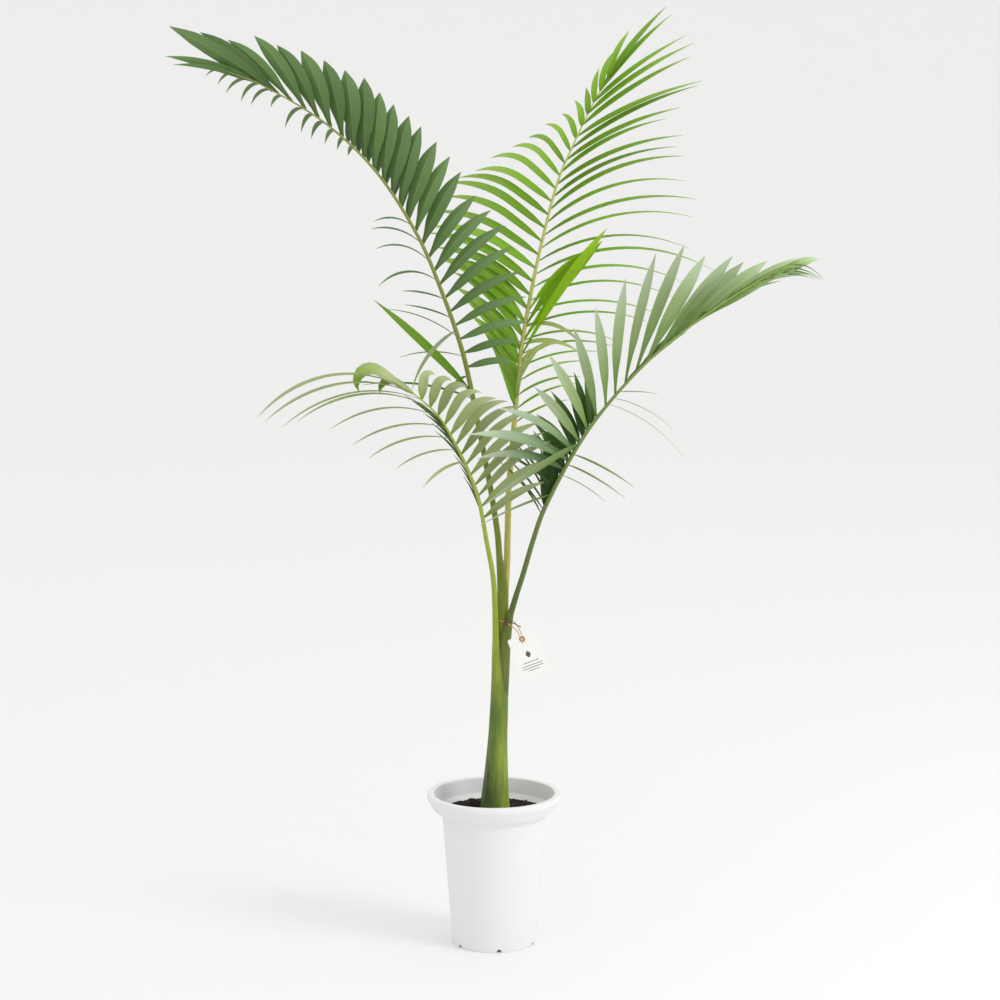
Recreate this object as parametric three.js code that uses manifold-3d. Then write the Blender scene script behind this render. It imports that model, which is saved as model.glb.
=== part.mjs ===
// A young king palm, a feather palm, growing in a tall white nursery pot, with a blank plant tag
// tied round the top of its stem.
//
// Millimetres, +Z up. The origin is the middle of the pot's foot, on the floor.
//
// Each frond is a leaf stalk that arches out of the stem and carries two rows of leaflets. A stalk
// and a leaflet are both long cones: one is laid along a curve, the other is flattened and arched.
// A row's leaflets share a narrow seam along the stalk, so the row is one closed body.

import * as THREE from 'three';
import { mergeVertices } from 'three/addons/utils/BufferGeometryUtils.js';
import Module from 'manifold-3d';

const wasm = await Module();
wasm.setup();

const UP = new THREE.Vector3(0, 0, 1);
const GAP = 0.3;                // clearance between touching pieces

// Pot
const POT_HEIGHT = 243;
const RIM_RADIUS = 106.5;       // a 213 mm rim
const MOUTH_RADIUS = 95.5;
const COLLAR_HEIGHT = 25;       // the collar hangs this far below the top
const COLLAR_FOOT_RADIUS = 96.5;
const SHOULDER_HEIGHT = 12;     // from the body's top up to the collar's foot
const BODY_TOP_RADIUS = 82;
const FOOT_RADIUS = 66.5;
const FOOT_WIDTH = 6;           // the ring that the pot stands on
const LIP_ROUND = 2.5;          // the rim's outer edge
const POT_WALL = 2.5;
const FLOOR_LIFT = 4;           // the pot's floor stands this far above the ground
const NOTCH_COUNT = 6;          // drainage arches round the foot
const NOTCH_RADIUS = 4;
const NOTCH_DEPTH = 16;         // radially, enough to pass through the foot
const NOTCH_STRETCH = 1.3;      // an arch's height over its half width
const FIRST_NOTCH = THREE.MathUtils.degToRad(-83);
const DRAIN_COUNT = 5;          // one hole in the middle and the rest in a ring
const DRAIN_RADIUS = 8;
const DRAIN_RING = 38;
const DRAIN_DEPTH = 20;
const POT_SIDES = 36;

// Soil and stem
const SOIL_DEPTH = 32;          // from the rim down to the soil at the wall
const SOIL_CROWN = 5;           // the soil rises this much towards the stem
const STEM_SIDES = 12;
const STEM_STEPS = 18;
const STEM = [                  // x and z of the stem's middle, and its radius there
  [1, 150, 22], [1, 205, 24.5], [2, 240, 21.6], [4, 285, 18], [6, 330, 15.4], [8, 375, 14.4],
  [9, 410, 13.8], [11, 450, 13], [13, 500, 11], [14, 550, 8.9], [13, 600, 7.5],
];

// Leaf stalks and leaflets
const STALK_SIDES = 6;
const STALK_STEPS = 22;
const STALK_TIP = 0.7;          // radius, just before the stalk's point
const BLADE_THICKNESS = 1.4;    // depth of a leaflet's keel below the middle of its blade
const BLADE_STEPS = 3;
const EDGE_REACH = Math.cos(Math.PI / 6);   // how far a three-sided cone's side corners stand out
const SEAM_RADIUS = 1.5;          // the seam that joins a row's leaflets
const SEAM_SIDES = 4;

// Plant tag
const CARD_WIDTH = 46;
const CARD_HEIGHT = 66;
const CARD_THICKNESS = 0.7;
const CARD_CORNER = 3;
const EYELET_HOLE = 2;
const EYELET_RADIUS = 3.4;
const EYELET_DEPTH = 1.8;
const EYELET_DROP = 6;          // from the card's top edge to the middle of the hole
const TIE_RADIUS = 0.7;

const material = (color, roughness) => new THREE.MeshStandardMaterial({ color, roughness, metalness: 0 });

const finishes = {
  pot: material(0xf2f3f0, 0.35),
  soil: material(0x30261e, 0.95),
  stem: material(0x6c8236, 0.5),
  darkBlade: material(0x58753f, 0.45),
  brightBlade: material(0x7ca41f, 0.45),
  greyBlade: material(0x7f9a6a, 0.45),
  paleBlade: material(0x98a66c, 0.5),
  darkStalk: material(0x6b7a3a, 0.5),
  brightStalk: material(0xb5ad5c, 0.5),
  card: material(0xf7f7f4, 0.6),
  tie: material(0xd8a86a, 0.6),
  eyelet: material(0xb08a62, 0.4),
};

// The four fronds. route: points along the stalk, from the stem to the tip. A row's leaflets are
// spread evenly between the shares from and to of the stalk's length; reach is the step from a
// leaflet's base to its tip and face is where its upper side looks, given at even stations along
// the row. bend is the angle that a leaflet droops through, and width its widest place.
const fronds = [
  {
    name: 'high_left',
    route: [
      [9, -7, 604], [6, -12, 657], [-6, -25, 737], [-24, -42, 834], [-47, -62, 946], [-80, -82, 1045],
      [-116, -102, 1130], [-174, -126, 1221], [-248, -150, 1293], [-333, -172, 1345], [-384, -182, 1366],
    ],
    stalkRadius: 5,
    stalk: finishes.darkStalk,
    blade: finishes.darkBlade,
    rows: [
      {
        name: 'upper', count: 26, from: 0.355, to: 0.985, side: [0.8, -0.3, 0.5],
        reach: [
          [70, 15, 5], [112, 22, 40], [98, 25, 86], [63, 25, 100], [36, 25, 114],
          [13, 25, 115], [-16, 25, 112], [-60, 20, 110], [-164, 0, 98], [-98, 0, 18],
        ],
        face: [[0.2, 1, -0.1]], bend: [0.5, 0.3, 0.3, 0.4], width: [11, 17, 26, 30, 30, 24, 8],
      },
      {
        name: 'lower', count: 22, from: 0.34, to: 0.985, side: [-0.8, 0.5, -0.3],
        reach: [
          [-30, 40, -40], [-110, 60, 30], [-78, 57, 0], [-78, 60, 15], [15, 175, 48],
          [15, 180, 58], [-24, 50, -20], [-30, 42, -14], [-50, 30, -4],
        ],
        face: [[0.3, 0.2, 1]], bend: [0.9, 0.5, 0.9, 0.8, 1.3], width: [7, 9, 9, 9, 17, 17, 8, 8, 8],
      },
    ],
  },
  {
    name: 'high_right',
    route: [
      [20, 7, 604], [22, 18, 677], [24, 30, 734], [33, 58, 838], [43, 86, 939], [59, 118, 1028],
      [75, 146, 1100], [101, 184, 1197], [129, 212, 1262], [165, 244, 1334], [190, 262, 1372],
    ],
    stalkRadius: 5.2,
    stalk: finishes.brightStalk,
    blade: finishes.brightBlade,
    rows: [
      {
        name: 'left', count: 26, from: 0.3, to: 0.985, side: [-1, -0.2, 0.2],
        reach: [
          [-40, 5, 100], [-80, 5, 100], [-115, 5, 100], [-145, -5, 82], [-172, -20, 72],
          [-160, -30, 68], [-122, -30, 52], [-68, -28, 44], [-24, -15, 40], [2, -10, 46],
          [37, -10, 80],
        ],
        face: [[0.3, -0.7, 0.8]], bend: [0.5, 0.6, 0.9, 1, 0.5], width: [20, 24, 24, 20, 18, 15, 11],
      },
      {
        name: 'right', count: 28, from: 0.27, to: 0.985, side: [1, 0.3, 0.2],
        reach: [
          [90, 25, 35], [115, 35, 30], [150, 45, 5], [222, 65, -14], [272, 95, 14],
          [250, 85, 52], [205, 70, 82], [180, 60, 86], [205, 55, 96], [160, 45, 112],
          [110, 25, 124],
        ],
        face: [[-0.5, -0.5, 0.9]], bend: [0.6, 0.8, 1, 0.7, 0.35, 0.2],
        width: [8, 9, 11, 14, 18, 19, 17],
      },
      {
        name: 'unsplit', count: 4, from: 0.395, to: 0.485, side: [0.5, -0.8, 0],
        reach: [[138, 20, 194], [122, 20, 160], [96, 20, 120], [70, 15, 84]],
        face: [[-0.3, -1, 0.2]], bend: [0.3], width: [15, 17, 15, 12],
      },
    ],
  },
  {
    name: 'right',
    route: [
      [21, -10, 455], [24, -12, 500], [27, -14, 536], [45, -28, 597], [61, -42, 655], [79, -54, 708],
      [121, -80, 794], [164, -106, 862], [223, -142, 934], [287, -175, 993], [349, -205, 1041],
      [410, -232, 1080], [439, -245, 1095],
    ],
    stalkRadius: 5,
    stalk: finishes.darkStalk,
    blade: finishes.greyBlade,
    rows: [
      {
        name: 'upper', count: 24, from: 0.4, to: 0.98, side: [-0.6, -0.4, 0.7],
        reach: [
          [-138, -70, 28], [-68, -18, 98], [-12, -4, 160], [62, 5, 195], [101, 3, 138],
          [128, -4, 96], [124, -11, 68], [80, -12, 40], [36, 0, 12],
        ],
        face: [[0.1, -1, 0.2]], bend: [0.6, 0.2, 0.1, 0.2, 0.4],
        width: [18, 16, 16, 20, 20, 17, 12, 9, 8],
      },
      {
        name: 'lower', count: 20, from: 0.39, to: 0.985, side: [0.6, 0.5, -0.6],
        reach: [
          [66, 25, -44], [95, 22, -52], [95, 25, -45], [76, 60, 64], [96, 58, 72],
          [110, 52, 66], [104, 43, 42], [76, 31, 8], [42, 28, -24],
        ],
        face: [[-0.4, -0.3, 1]], bend: [0.3, 0.4, 0.4, 0.8], width: [9, 14, 7, 10, 12, 13, 10, 8, 8],
      },
    ],
  },
  {
    name: 'low_left',
    route: [
      [0, -12, 440], [3, -13, 501], [2, -20, 537], [-1, -32, 593], [-11, -50, 653], [-23, -76, 722],
      [-39, -98, 771], [-58, -120, 814], [-83, -144, 859], [-115, -170, 892], [-144, -194, 913],
    ],
    stalkRadius: 5,
    stalk: finishes.paleBlade,
    blade: finishes.paleBlade,
    rows: [
      {
        name: 'right', count: 16, from: 0.47, to: 0.965, side: [0.8, 0.3, 0.3],
        reach: [
          [95, -20, 62], [108, -20, 84], [108, -15, 90], [98, -10, 82], [80, -5, 66],
          [62, 0, 50], [42, 0, 42], [20, 5, 38], [-60, -18, 0],
        ],
        face: [[-0.3, -1, 0.5]], bend: [0.4, 0.5, 0.8, 1.6, 2.4], width: [13, 15, 16, 17, 18, 28],
      },
      {
        name: 'left', count: 10, from: 0.62, to: 0.985, side: [-0.8, -0.3, -0.3],
        reach: [
          [-62, -70, -25], [-105, -85, -22], [-135, -95, -18], [-178, -105, -28],
          [-200, -110, -28], [-215, -105, -32], [-205, -90, -38],
        ],
        face: [[0.4, 0.1, 1]], bend: [0.7, 0.9, 1.2], width: [8, 8, 10, 11, 17],
      },
    ],
  },
];

// ---------------------------------------------------------------- helpers

const vector = (point) => new THREE.Vector3(...point);

// The value at share t of a list of numbers or vectors that stand at even stations.
function along(values, t) {
  if (values.length === 1) return values[0];
  const place = t * (values.length - 1);
  const before = Math.min(Math.floor(place), values.length - 2);
  const share = place - before;
  const mix = (a, b) => a + (b - a) * share;
  const a = values[before];
  const b = values[before + 1];
  return Array.isArray(a) ? a.map((number, axis) => mix(number, b[axis])) : mix(a, b);
}

function smoothCurve(points) {
  return new THREE.CatmullRomCurve3(points.map(vector), false, 'catmullrom', 0.5);
}

function toManifold(geometry) {
  const bare = geometry.clone();
  bare.deleteAttribute('normal');
  bare.deleteAttribute('uv');
  const merged = mergeVertices(bare, 1e-4);
  return new wasm.Manifold(new wasm.Mesh({
    numProp: 3,
    vertProperties: new Float32Array(merged.attributes.position.array),
    triVerts: new Uint32Array(merged.index.array),
  }));
}

function toGeometry(solid) {
  const mesh = solid.getMesh();
  const geometry = new THREE.BufferGeometry();
  geometry.setAttribute('position', new THREE.Float32BufferAttribute(mesh.vertProperties, 3));
  geometry.setIndex(Array.from(mesh.triVerts));
  geometry.computeVertexNormals();
  return geometry;
}

// The largest body of a solid: a cut can leave the tip of a leaflet loose.
function largestBody(solid) {
  const bodies = solid.decompose();
  return bodies.reduce((best, body) => (body.volume() > best.volume() ? body : best));
}

// A cone with its base at t = 0 and its point at t = 1, whose surface is moved by place(t, angle).
function shapedCone(sides, steps, place) {
  const cone = new THREE.ConeGeometry(1, 1, sides, steps).rotateX(Math.PI / 2);
  cone.deleteAttribute('normal');
  cone.deleteAttribute('uv');
  const geometry = mergeVertices(cone, 1e-5);
  const position = geometry.attributes.position;
  for (let i = 0; i < position.count; i += 1) {
    const t = THREE.MathUtils.clamp(position.getZ(i) + 0.5, 0, 1);
    const onAxis = Math.hypot(position.getX(i), position.getY(i)) < 1e-6;
    const angle = onAxis ? null : Math.atan2(position.getY(i), position.getX(i));
    const point = place(t, angle);
    position.setXYZ(i, point.x, point.y, point.z);
  }
  return toManifold(geometry);
}

// ---------------------------------------------------------------- pot and soil

function potOutline() {
  const bodyTop = POT_HEIGHT - COLLAR_HEIGHT - SHOULDER_HEIGHT;
  const outer = [
    [0, FLOOR_LIFT], [FOOT_RADIUS - FOOT_WIDTH - 1, FLOOR_LIFT], [FOOT_RADIUS - FOOT_WIDTH, 0],
    [FOOT_RADIUS, 0], [BODY_TOP_RADIUS, bodyTop], [COLLAR_FOOT_RADIUS, POT_HEIGHT - COLLAR_HEIGHT],
    [RIM_RADIUS - LIP_ROUND, POT_HEIGHT - 9], [RIM_RADIUS, POT_HEIGHT - 6],
    [RIM_RADIUS, POT_HEIGHT - LIP_ROUND], [RIM_RADIUS - LIP_ROUND, POT_HEIGHT],
  ];
  const inner = [
    [MOUTH_RADIUS + 2, POT_HEIGHT], [MOUTH_RADIUS, POT_HEIGHT - 2],
    [COLLAR_FOOT_RADIUS - 4, POT_HEIGHT - COLLAR_HEIGHT], [BODY_TOP_RADIUS - POT_WALL, bodyTop],
    [FOOT_RADIUS - POT_WALL, FLOOR_LIFT + POT_WALL], [0, FLOOR_LIFT + POT_WALL],
  ];
  return { outer, inner };
}

function turned(profile) {
  return toManifold(new THREE.LatheGeometry(
    profile.map(([radius, height]) => new THREE.Vector2(radius, height)), POT_SIDES,
  ).rotateX(Math.PI / 2));
}

function makePot() {
  const { outer, inner } = potOutline();
  let pot = turned([...outer, ...inner]);
  for (let i = 0; i < NOTCH_COUNT; i += 1) {
    const angle = FIRST_NOTCH + (i * 2 * Math.PI) / NOTCH_COUNT;
    const notch = new THREE.CylinderGeometry(NOTCH_RADIUS, NOTCH_RADIUS, NOTCH_DEPTH, 16);
    notch.rotateZ(Math.PI / 2).scale(1, 1, NOTCH_STRETCH);
    notch.translate(FOOT_RADIUS - POT_WALL, 0, 0).rotateZ(angle);
    pot = pot.subtract(toManifold(notch));
  }
  for (let i = 0; i < DRAIN_COUNT; i += 1) {
    const drain = new THREE.CylinderGeometry(DRAIN_RADIUS, DRAIN_RADIUS, DRAIN_DEPTH, 20);
    drain.rotateX(Math.PI / 2);
    if (i > 0) drain.translate(DRAIN_RING, 0, 0).rotateZ((i * 2 * Math.PI) / (DRAIN_COUNT - 1));
    pot = pot.subtract(toManifold(drain));
  }
  return pot;
}

function makeSoil(stem) {
  const { inner } = potOutline();
  const top = POT_HEIGHT - SOIL_DEPTH;
  const [, , collarFoot, bodyTop, floorEdge] = inner;
  const share = (top - bodyTop[1]) / (collarFoot[1] - bodyTop[1]);
  const topRadius = bodyTop[0] + share * (collarFoot[0] - bodyTop[0]);
  const soil = turned([
    [0, floorEdge[1] + GAP], [floorEdge[0] - GAP, floorEdge[1] + GAP],
    [bodyTop[0] - 2 * GAP, bodyTop[1]], [topRadius - 2 * GAP, top],
    [topRadius * 0.6, top + SOIL_CROWN * 0.6], [30, top + SOIL_CROWN], [0, top + SOIL_CROWN],
  ]);
  return soil.subtract(stem);
}

// ---------------------------------------------------------------- stem, stalks and leaflets

// The stem widens at the soil. grow makes it fatter all round, to cut its neighbours clear of it.
function makeStem(grow = 0) {
  const middle = new THREE.CatmullRomCurve3(STEM.map(([x, z]) => new THREE.Vector3(x, 0, z)));
  const radii = STEM.map(([, , radius]) => radius);
  return shapedCone(STEM_SIDES, STEM_STEPS, (t, angle) => {
    const point = middle.getPoint(t);
    if (angle === null) return point.addScaledVector(UP, t < 0.5 ? -grow : grow);
    const radius = along(radii, t) + grow;
    return point.add(new THREE.Vector3(Math.cos(angle), Math.sin(angle), 0).multiplyScalar(radius));
  });
}

// A stalk's radius at share t of its length.
function stalkRadiusAt(frond, t) {
  return frond.stalkRadius + (STALK_TIP - frond.stalkRadius) * t ** 1.2;
}

function makeStalk(frond, grow = 0) {
  const curve = smoothCurve(frond.route);
  return shapedCone(STALK_SIDES, STALK_STEPS, (t, angle) => {
    const middle = curve.getPointAt(t);
    const ahead = curve.getTangentAt(t);
    if (angle === null) return middle.addScaledVector(ahead, t < 0.5 ? -grow : grow);
    const across = new THREE.Vector3(0, 1, 0).cross(ahead).normalize();
    const over = ahead.clone().cross(across);
    const radius = stalkRadiusAt(frond, t) + grow;
    return middle
      .addScaledVector(across, Math.cos(angle) * radius)
      .addScaledVector(over, Math.sin(angle) * radius);
  });
}

// How wide a leaflet is at share t of its length, where 1 is its widest.
function bladeOutline(t) {
  const rise = 0.12 + 0.88 * Math.sin(Math.min(1, t / 0.3) * Math.PI / 2);
  const fall = 1 - Math.max(0, (t - 0.45) / 0.55) ** 1.8;
  return Math.max(0.05, rise * fall);
}

// One leaflet: it leaves its base a little above the straight line to its tip and droops back to
// it through the angle bend, on a circular arc.
function makeLeaflet({ base, reach, face, bend, width }) {
  const straight = reach.clone().normalize();
  const down = UP.clone().negate().projectOnPlane(straight).normalize();
  const start = straight.clone().applyAxisAngle(straight.clone().cross(down), -bend / 2);
  const droop = down.clone().applyAxisAngle(straight.clone().cross(down), -bend / 2);
  const axle = start.clone().cross(droop);
  const across = start.clone().cross(face).normalize();
  const back = start.clone().cross(across).normalize();
  const length = (reach.length() * (bend / 2)) / Math.sin(bend / 2);
  return shapedCone(3, BLADE_STEPS, (t, angle) => {
    const turn = bend * t;
    const point = base.clone()
      .addScaledVector(start, (length * Math.sin(turn)) / bend)
      .addScaledVector(droop, (length * (1 - Math.cos(turn))) / bend);
    if (angle === null) return point;
    const wide = across.clone().applyAxisAngle(axle, turn);
    const deep = back.clone().applyAxisAngle(axle, turn);
    const half = (width * bladeOutline(t)) / 2;
    return point
      .addScaledVector(wide, (Math.cos(angle) / EDGE_REACH) * half)
      .addScaledVector(deep, Math.sin(angle) * BLADE_THICKNESS);
  });
}

// A row of leaflets on one side of a stalk, with the seam that joins their bases.
function makeRow(frond, row) {
  const curve = smoothCurve(frond.route);
  const side = vector(row.side);
  const bases = [];
  let solid = null;
  for (let i = 0; i < row.count; i += 1) {
    const share = i / (row.count - 1);
    const t = row.from + (row.to - row.from) * share;
    const out = side.clone().projectOnPlane(curve.getTangentAt(t)).normalize();
    const base = curve.getPointAt(t).addScaledVector(out, stalkRadiusAt(frond, t) + GAP + SEAM_RADIUS);
    const leaflet = makeLeaflet({
      base,
      reach: vector(along(row.reach, share)),
      face: vector(along(row.face, share)),
      bend: along(row.bend, share),
      width: along(row.width, share),
    });
    solid = solid ? solid.add(leaflet) : leaflet;
    bases.push(base);
  }
  const section = new THREE.Shape(
    new THREE.EllipseCurve(0, 0, SEAM_RADIUS, SEAM_RADIUS).getPoints(SEAM_SIDES).slice(0, -1),
  );
  const seam = new THREE.ExtrudeGeometry(section, {
    steps: Math.ceil(row.count / 2),
    bevelEnabled: false,
    extrudePath: new THREE.CatmullRomCurve3(bases),
  });
  return solid.add(toManifold(seam));
}

// ---------------------------------------------------------------- plant tag

// The card hangs from its eyelet, turned a little from upright.
const card = new THREE.Group();
card.position.set(44, -34, 497);
card.rotation.set(THREE.MathUtils.degToRad(90), 0, THREE.MathUtils.degToRad(-8), 'ZXY');
card.rotateZ(THREE.MathUtils.degToRad(22));

function makeCard() {
  const right = CARD_WIDTH / 2 - CARD_CORNER;
  const top = EYELET_DROP - CARD_CORNER;
  const bottom = EYELET_DROP - CARD_HEIGHT + CARD_CORNER;
  const outline = new THREE.Shape();
  outline.absarc(right, top, CARD_CORNER, 0, Math.PI / 2);
  outline.absarc(-right, top, CARD_CORNER, Math.PI / 2, Math.PI);
  outline.absarc(-right, bottom, CARD_CORNER, Math.PI, 1.5 * Math.PI);
  outline.absarc(right, bottom, CARD_CORNER, 1.5 * Math.PI, 2 * Math.PI);
  outline.holes.push(new THREE.Path().absarc(0, 0, EYELET_RADIUS + GAP, 0, 2 * Math.PI));
  return new THREE.ExtrudeGeometry(outline, {
    depth: CARD_THICKNESS, bevelEnabled: false, curveSegments: 5,
  }).translate(0, 0, -CARD_THICKNESS / 2);
}

function makeEyelet() {
  const half = EYELET_DEPTH / 2;
  return new THREE.LatheGeometry([
    new THREE.Vector2(EYELET_HOLE, -half), new THREE.Vector2(EYELET_RADIUS, -half),
    new THREE.Vector2(EYELET_RADIUS, half), new THREE.Vector2(EYELET_HOLE, half),
    new THREE.Vector2(EYELET_HOLE, -half),
  ], 20).rotateX(Math.PI / 2);
}

// The tie starts in front of the eyelet, goes round the top of the stem and the right frond's
// stalk, and comes back through the eyelet from behind.
function makeTie() {
  const route = [
    [41, -38, 500], [36, -30, 509], [25, -21, 517], [14, -15, 521], [4.5, -8, 522], [0.5, 3, 522],
    [6, 11.5, 521], [17, 13, 520], [29, 6, 518], [36, -7, 514], [41, -20, 507], [44, -29, 500],
    [44.2, -36, 496.5], [45, -42, 492],
  ];
  const section = new THREE.Shape(
    new THREE.EllipseCurve(0, 0, TIE_RADIUS, TIE_RADIUS).getPoints(6).slice(0, -1),
  );
  return new THREE.ExtrudeGeometry(section, {
    steps: 36, bevelEnabled: false, extrudePath: new THREE.CatmullRomCurve3(route.map(vector)),
  });
}

// ---------------------------------------------------------------- assembly

const palm = new THREE.Group();

function addPiece(name, geometry, finish, parent = palm) {
  const mesh = new THREE.Mesh(geometry, finish);
  mesh.name = name;
  parent.add(mesh);
  return mesh;
}

const stem = makeStem();
const keepOut = makeStem(GAP);
addPiece('pot', toGeometry(makePot()), finishes.pot);
addPiece('soil', toGeometry(largestBody(makeSoil(keepOut))), finishes.soil);
addPiece('stem', toGeometry(stem), finishes.stem);

// Every leafy piece is cut clear of the pieces made before it.
let taken = keepOut;
for (const frond of fronds) {
  const stalk = largestBody(makeStalk(frond).subtract(taken));
  addPiece(`${frond.name}_stalk`, toGeometry(stalk), frond.stalk);
  taken = taken.add(makeStalk(frond, GAP));
}
for (const frond of fronds) {
  for (const row of frond.rows) {
    const leaflets = largestBody(makeRow(frond, row).subtract(taken));
    addPiece(`${frond.name}_${row.name}_leaflets`, toGeometry(leaflets), frond.blade);
    taken = taken.add(leaflets);
  }
}

palm.add(card);
addPiece('tag_card', makeCard(), finishes.card, card);
addPiece('tag_eyelet', makeEyelet(), finishes.eyelet, card);
addPiece('tag_tie', makeTie(), finishes.tie);

export default palm;
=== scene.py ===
"""A young king palm in a tall white nursery pot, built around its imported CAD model.

Metres, +Z up, with the origin in the middle of the pot's foot. Sizes that come from the design are
written in millimetres and turned to metres by MM.
"""

import math

import bmesh
import bpy
from mathutils import Matrix, Quaternion, Vector, noise


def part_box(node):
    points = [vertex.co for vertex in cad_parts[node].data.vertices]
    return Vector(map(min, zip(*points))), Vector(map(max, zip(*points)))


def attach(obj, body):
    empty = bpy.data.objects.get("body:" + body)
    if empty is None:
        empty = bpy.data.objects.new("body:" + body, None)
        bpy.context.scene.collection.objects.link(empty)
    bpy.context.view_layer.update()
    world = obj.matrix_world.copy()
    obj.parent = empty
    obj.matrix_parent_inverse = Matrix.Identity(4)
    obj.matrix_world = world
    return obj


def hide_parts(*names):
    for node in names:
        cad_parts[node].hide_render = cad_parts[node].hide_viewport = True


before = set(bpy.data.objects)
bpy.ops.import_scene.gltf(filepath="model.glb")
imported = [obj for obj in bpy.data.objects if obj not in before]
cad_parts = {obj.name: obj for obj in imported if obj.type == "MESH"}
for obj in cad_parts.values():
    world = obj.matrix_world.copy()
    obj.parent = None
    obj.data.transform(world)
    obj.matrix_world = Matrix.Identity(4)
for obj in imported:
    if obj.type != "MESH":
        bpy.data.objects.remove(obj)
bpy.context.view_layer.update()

bl_info = {
    "name": "Potted King Palm",
    "version": (1, 0, 0),
    "blender": (4, 5, 0),
    "location": "View3D > Sidebar > Palm",
    "description": "Builds a young feather palm in a nursery pot",
    "category": "Add Mesh",
}

MM = 0.001
UP = Vector((0, 0, 1))
BLACK = (0, 0, 0, 1)
WHITE = (1, 1, 1, 1)
RIB_CREAM = (1, 1, 0.75, 1)         # a leaflet's middle rib leans towards this
WAX_GREY = (0.55, 0.6, 0.5, 1)      # the bloom on its underside
SAP_GLOW = (0.45, 0.75, 0.05, 1)    # light that has come through it

# ------------------------------------------------------------------ sizes shared with the design

POT_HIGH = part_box("pot")[1]
POT_HEIGHT = POT_HIGH.z
RIM_RADIUS = POT_HIGH.x
SHOULDER = 12 * MM              # from the pot's body up to the foot of its collar
COLLAR_FOOT = 96.5 * MM         # the pot's outer radius there
FLOOR_LIFT = 4 * MM             # the pot's floor stands this far above the ground
STALK_TIP = 0.7 * MM            # a leaf stalk's radius just before its tip

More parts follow.
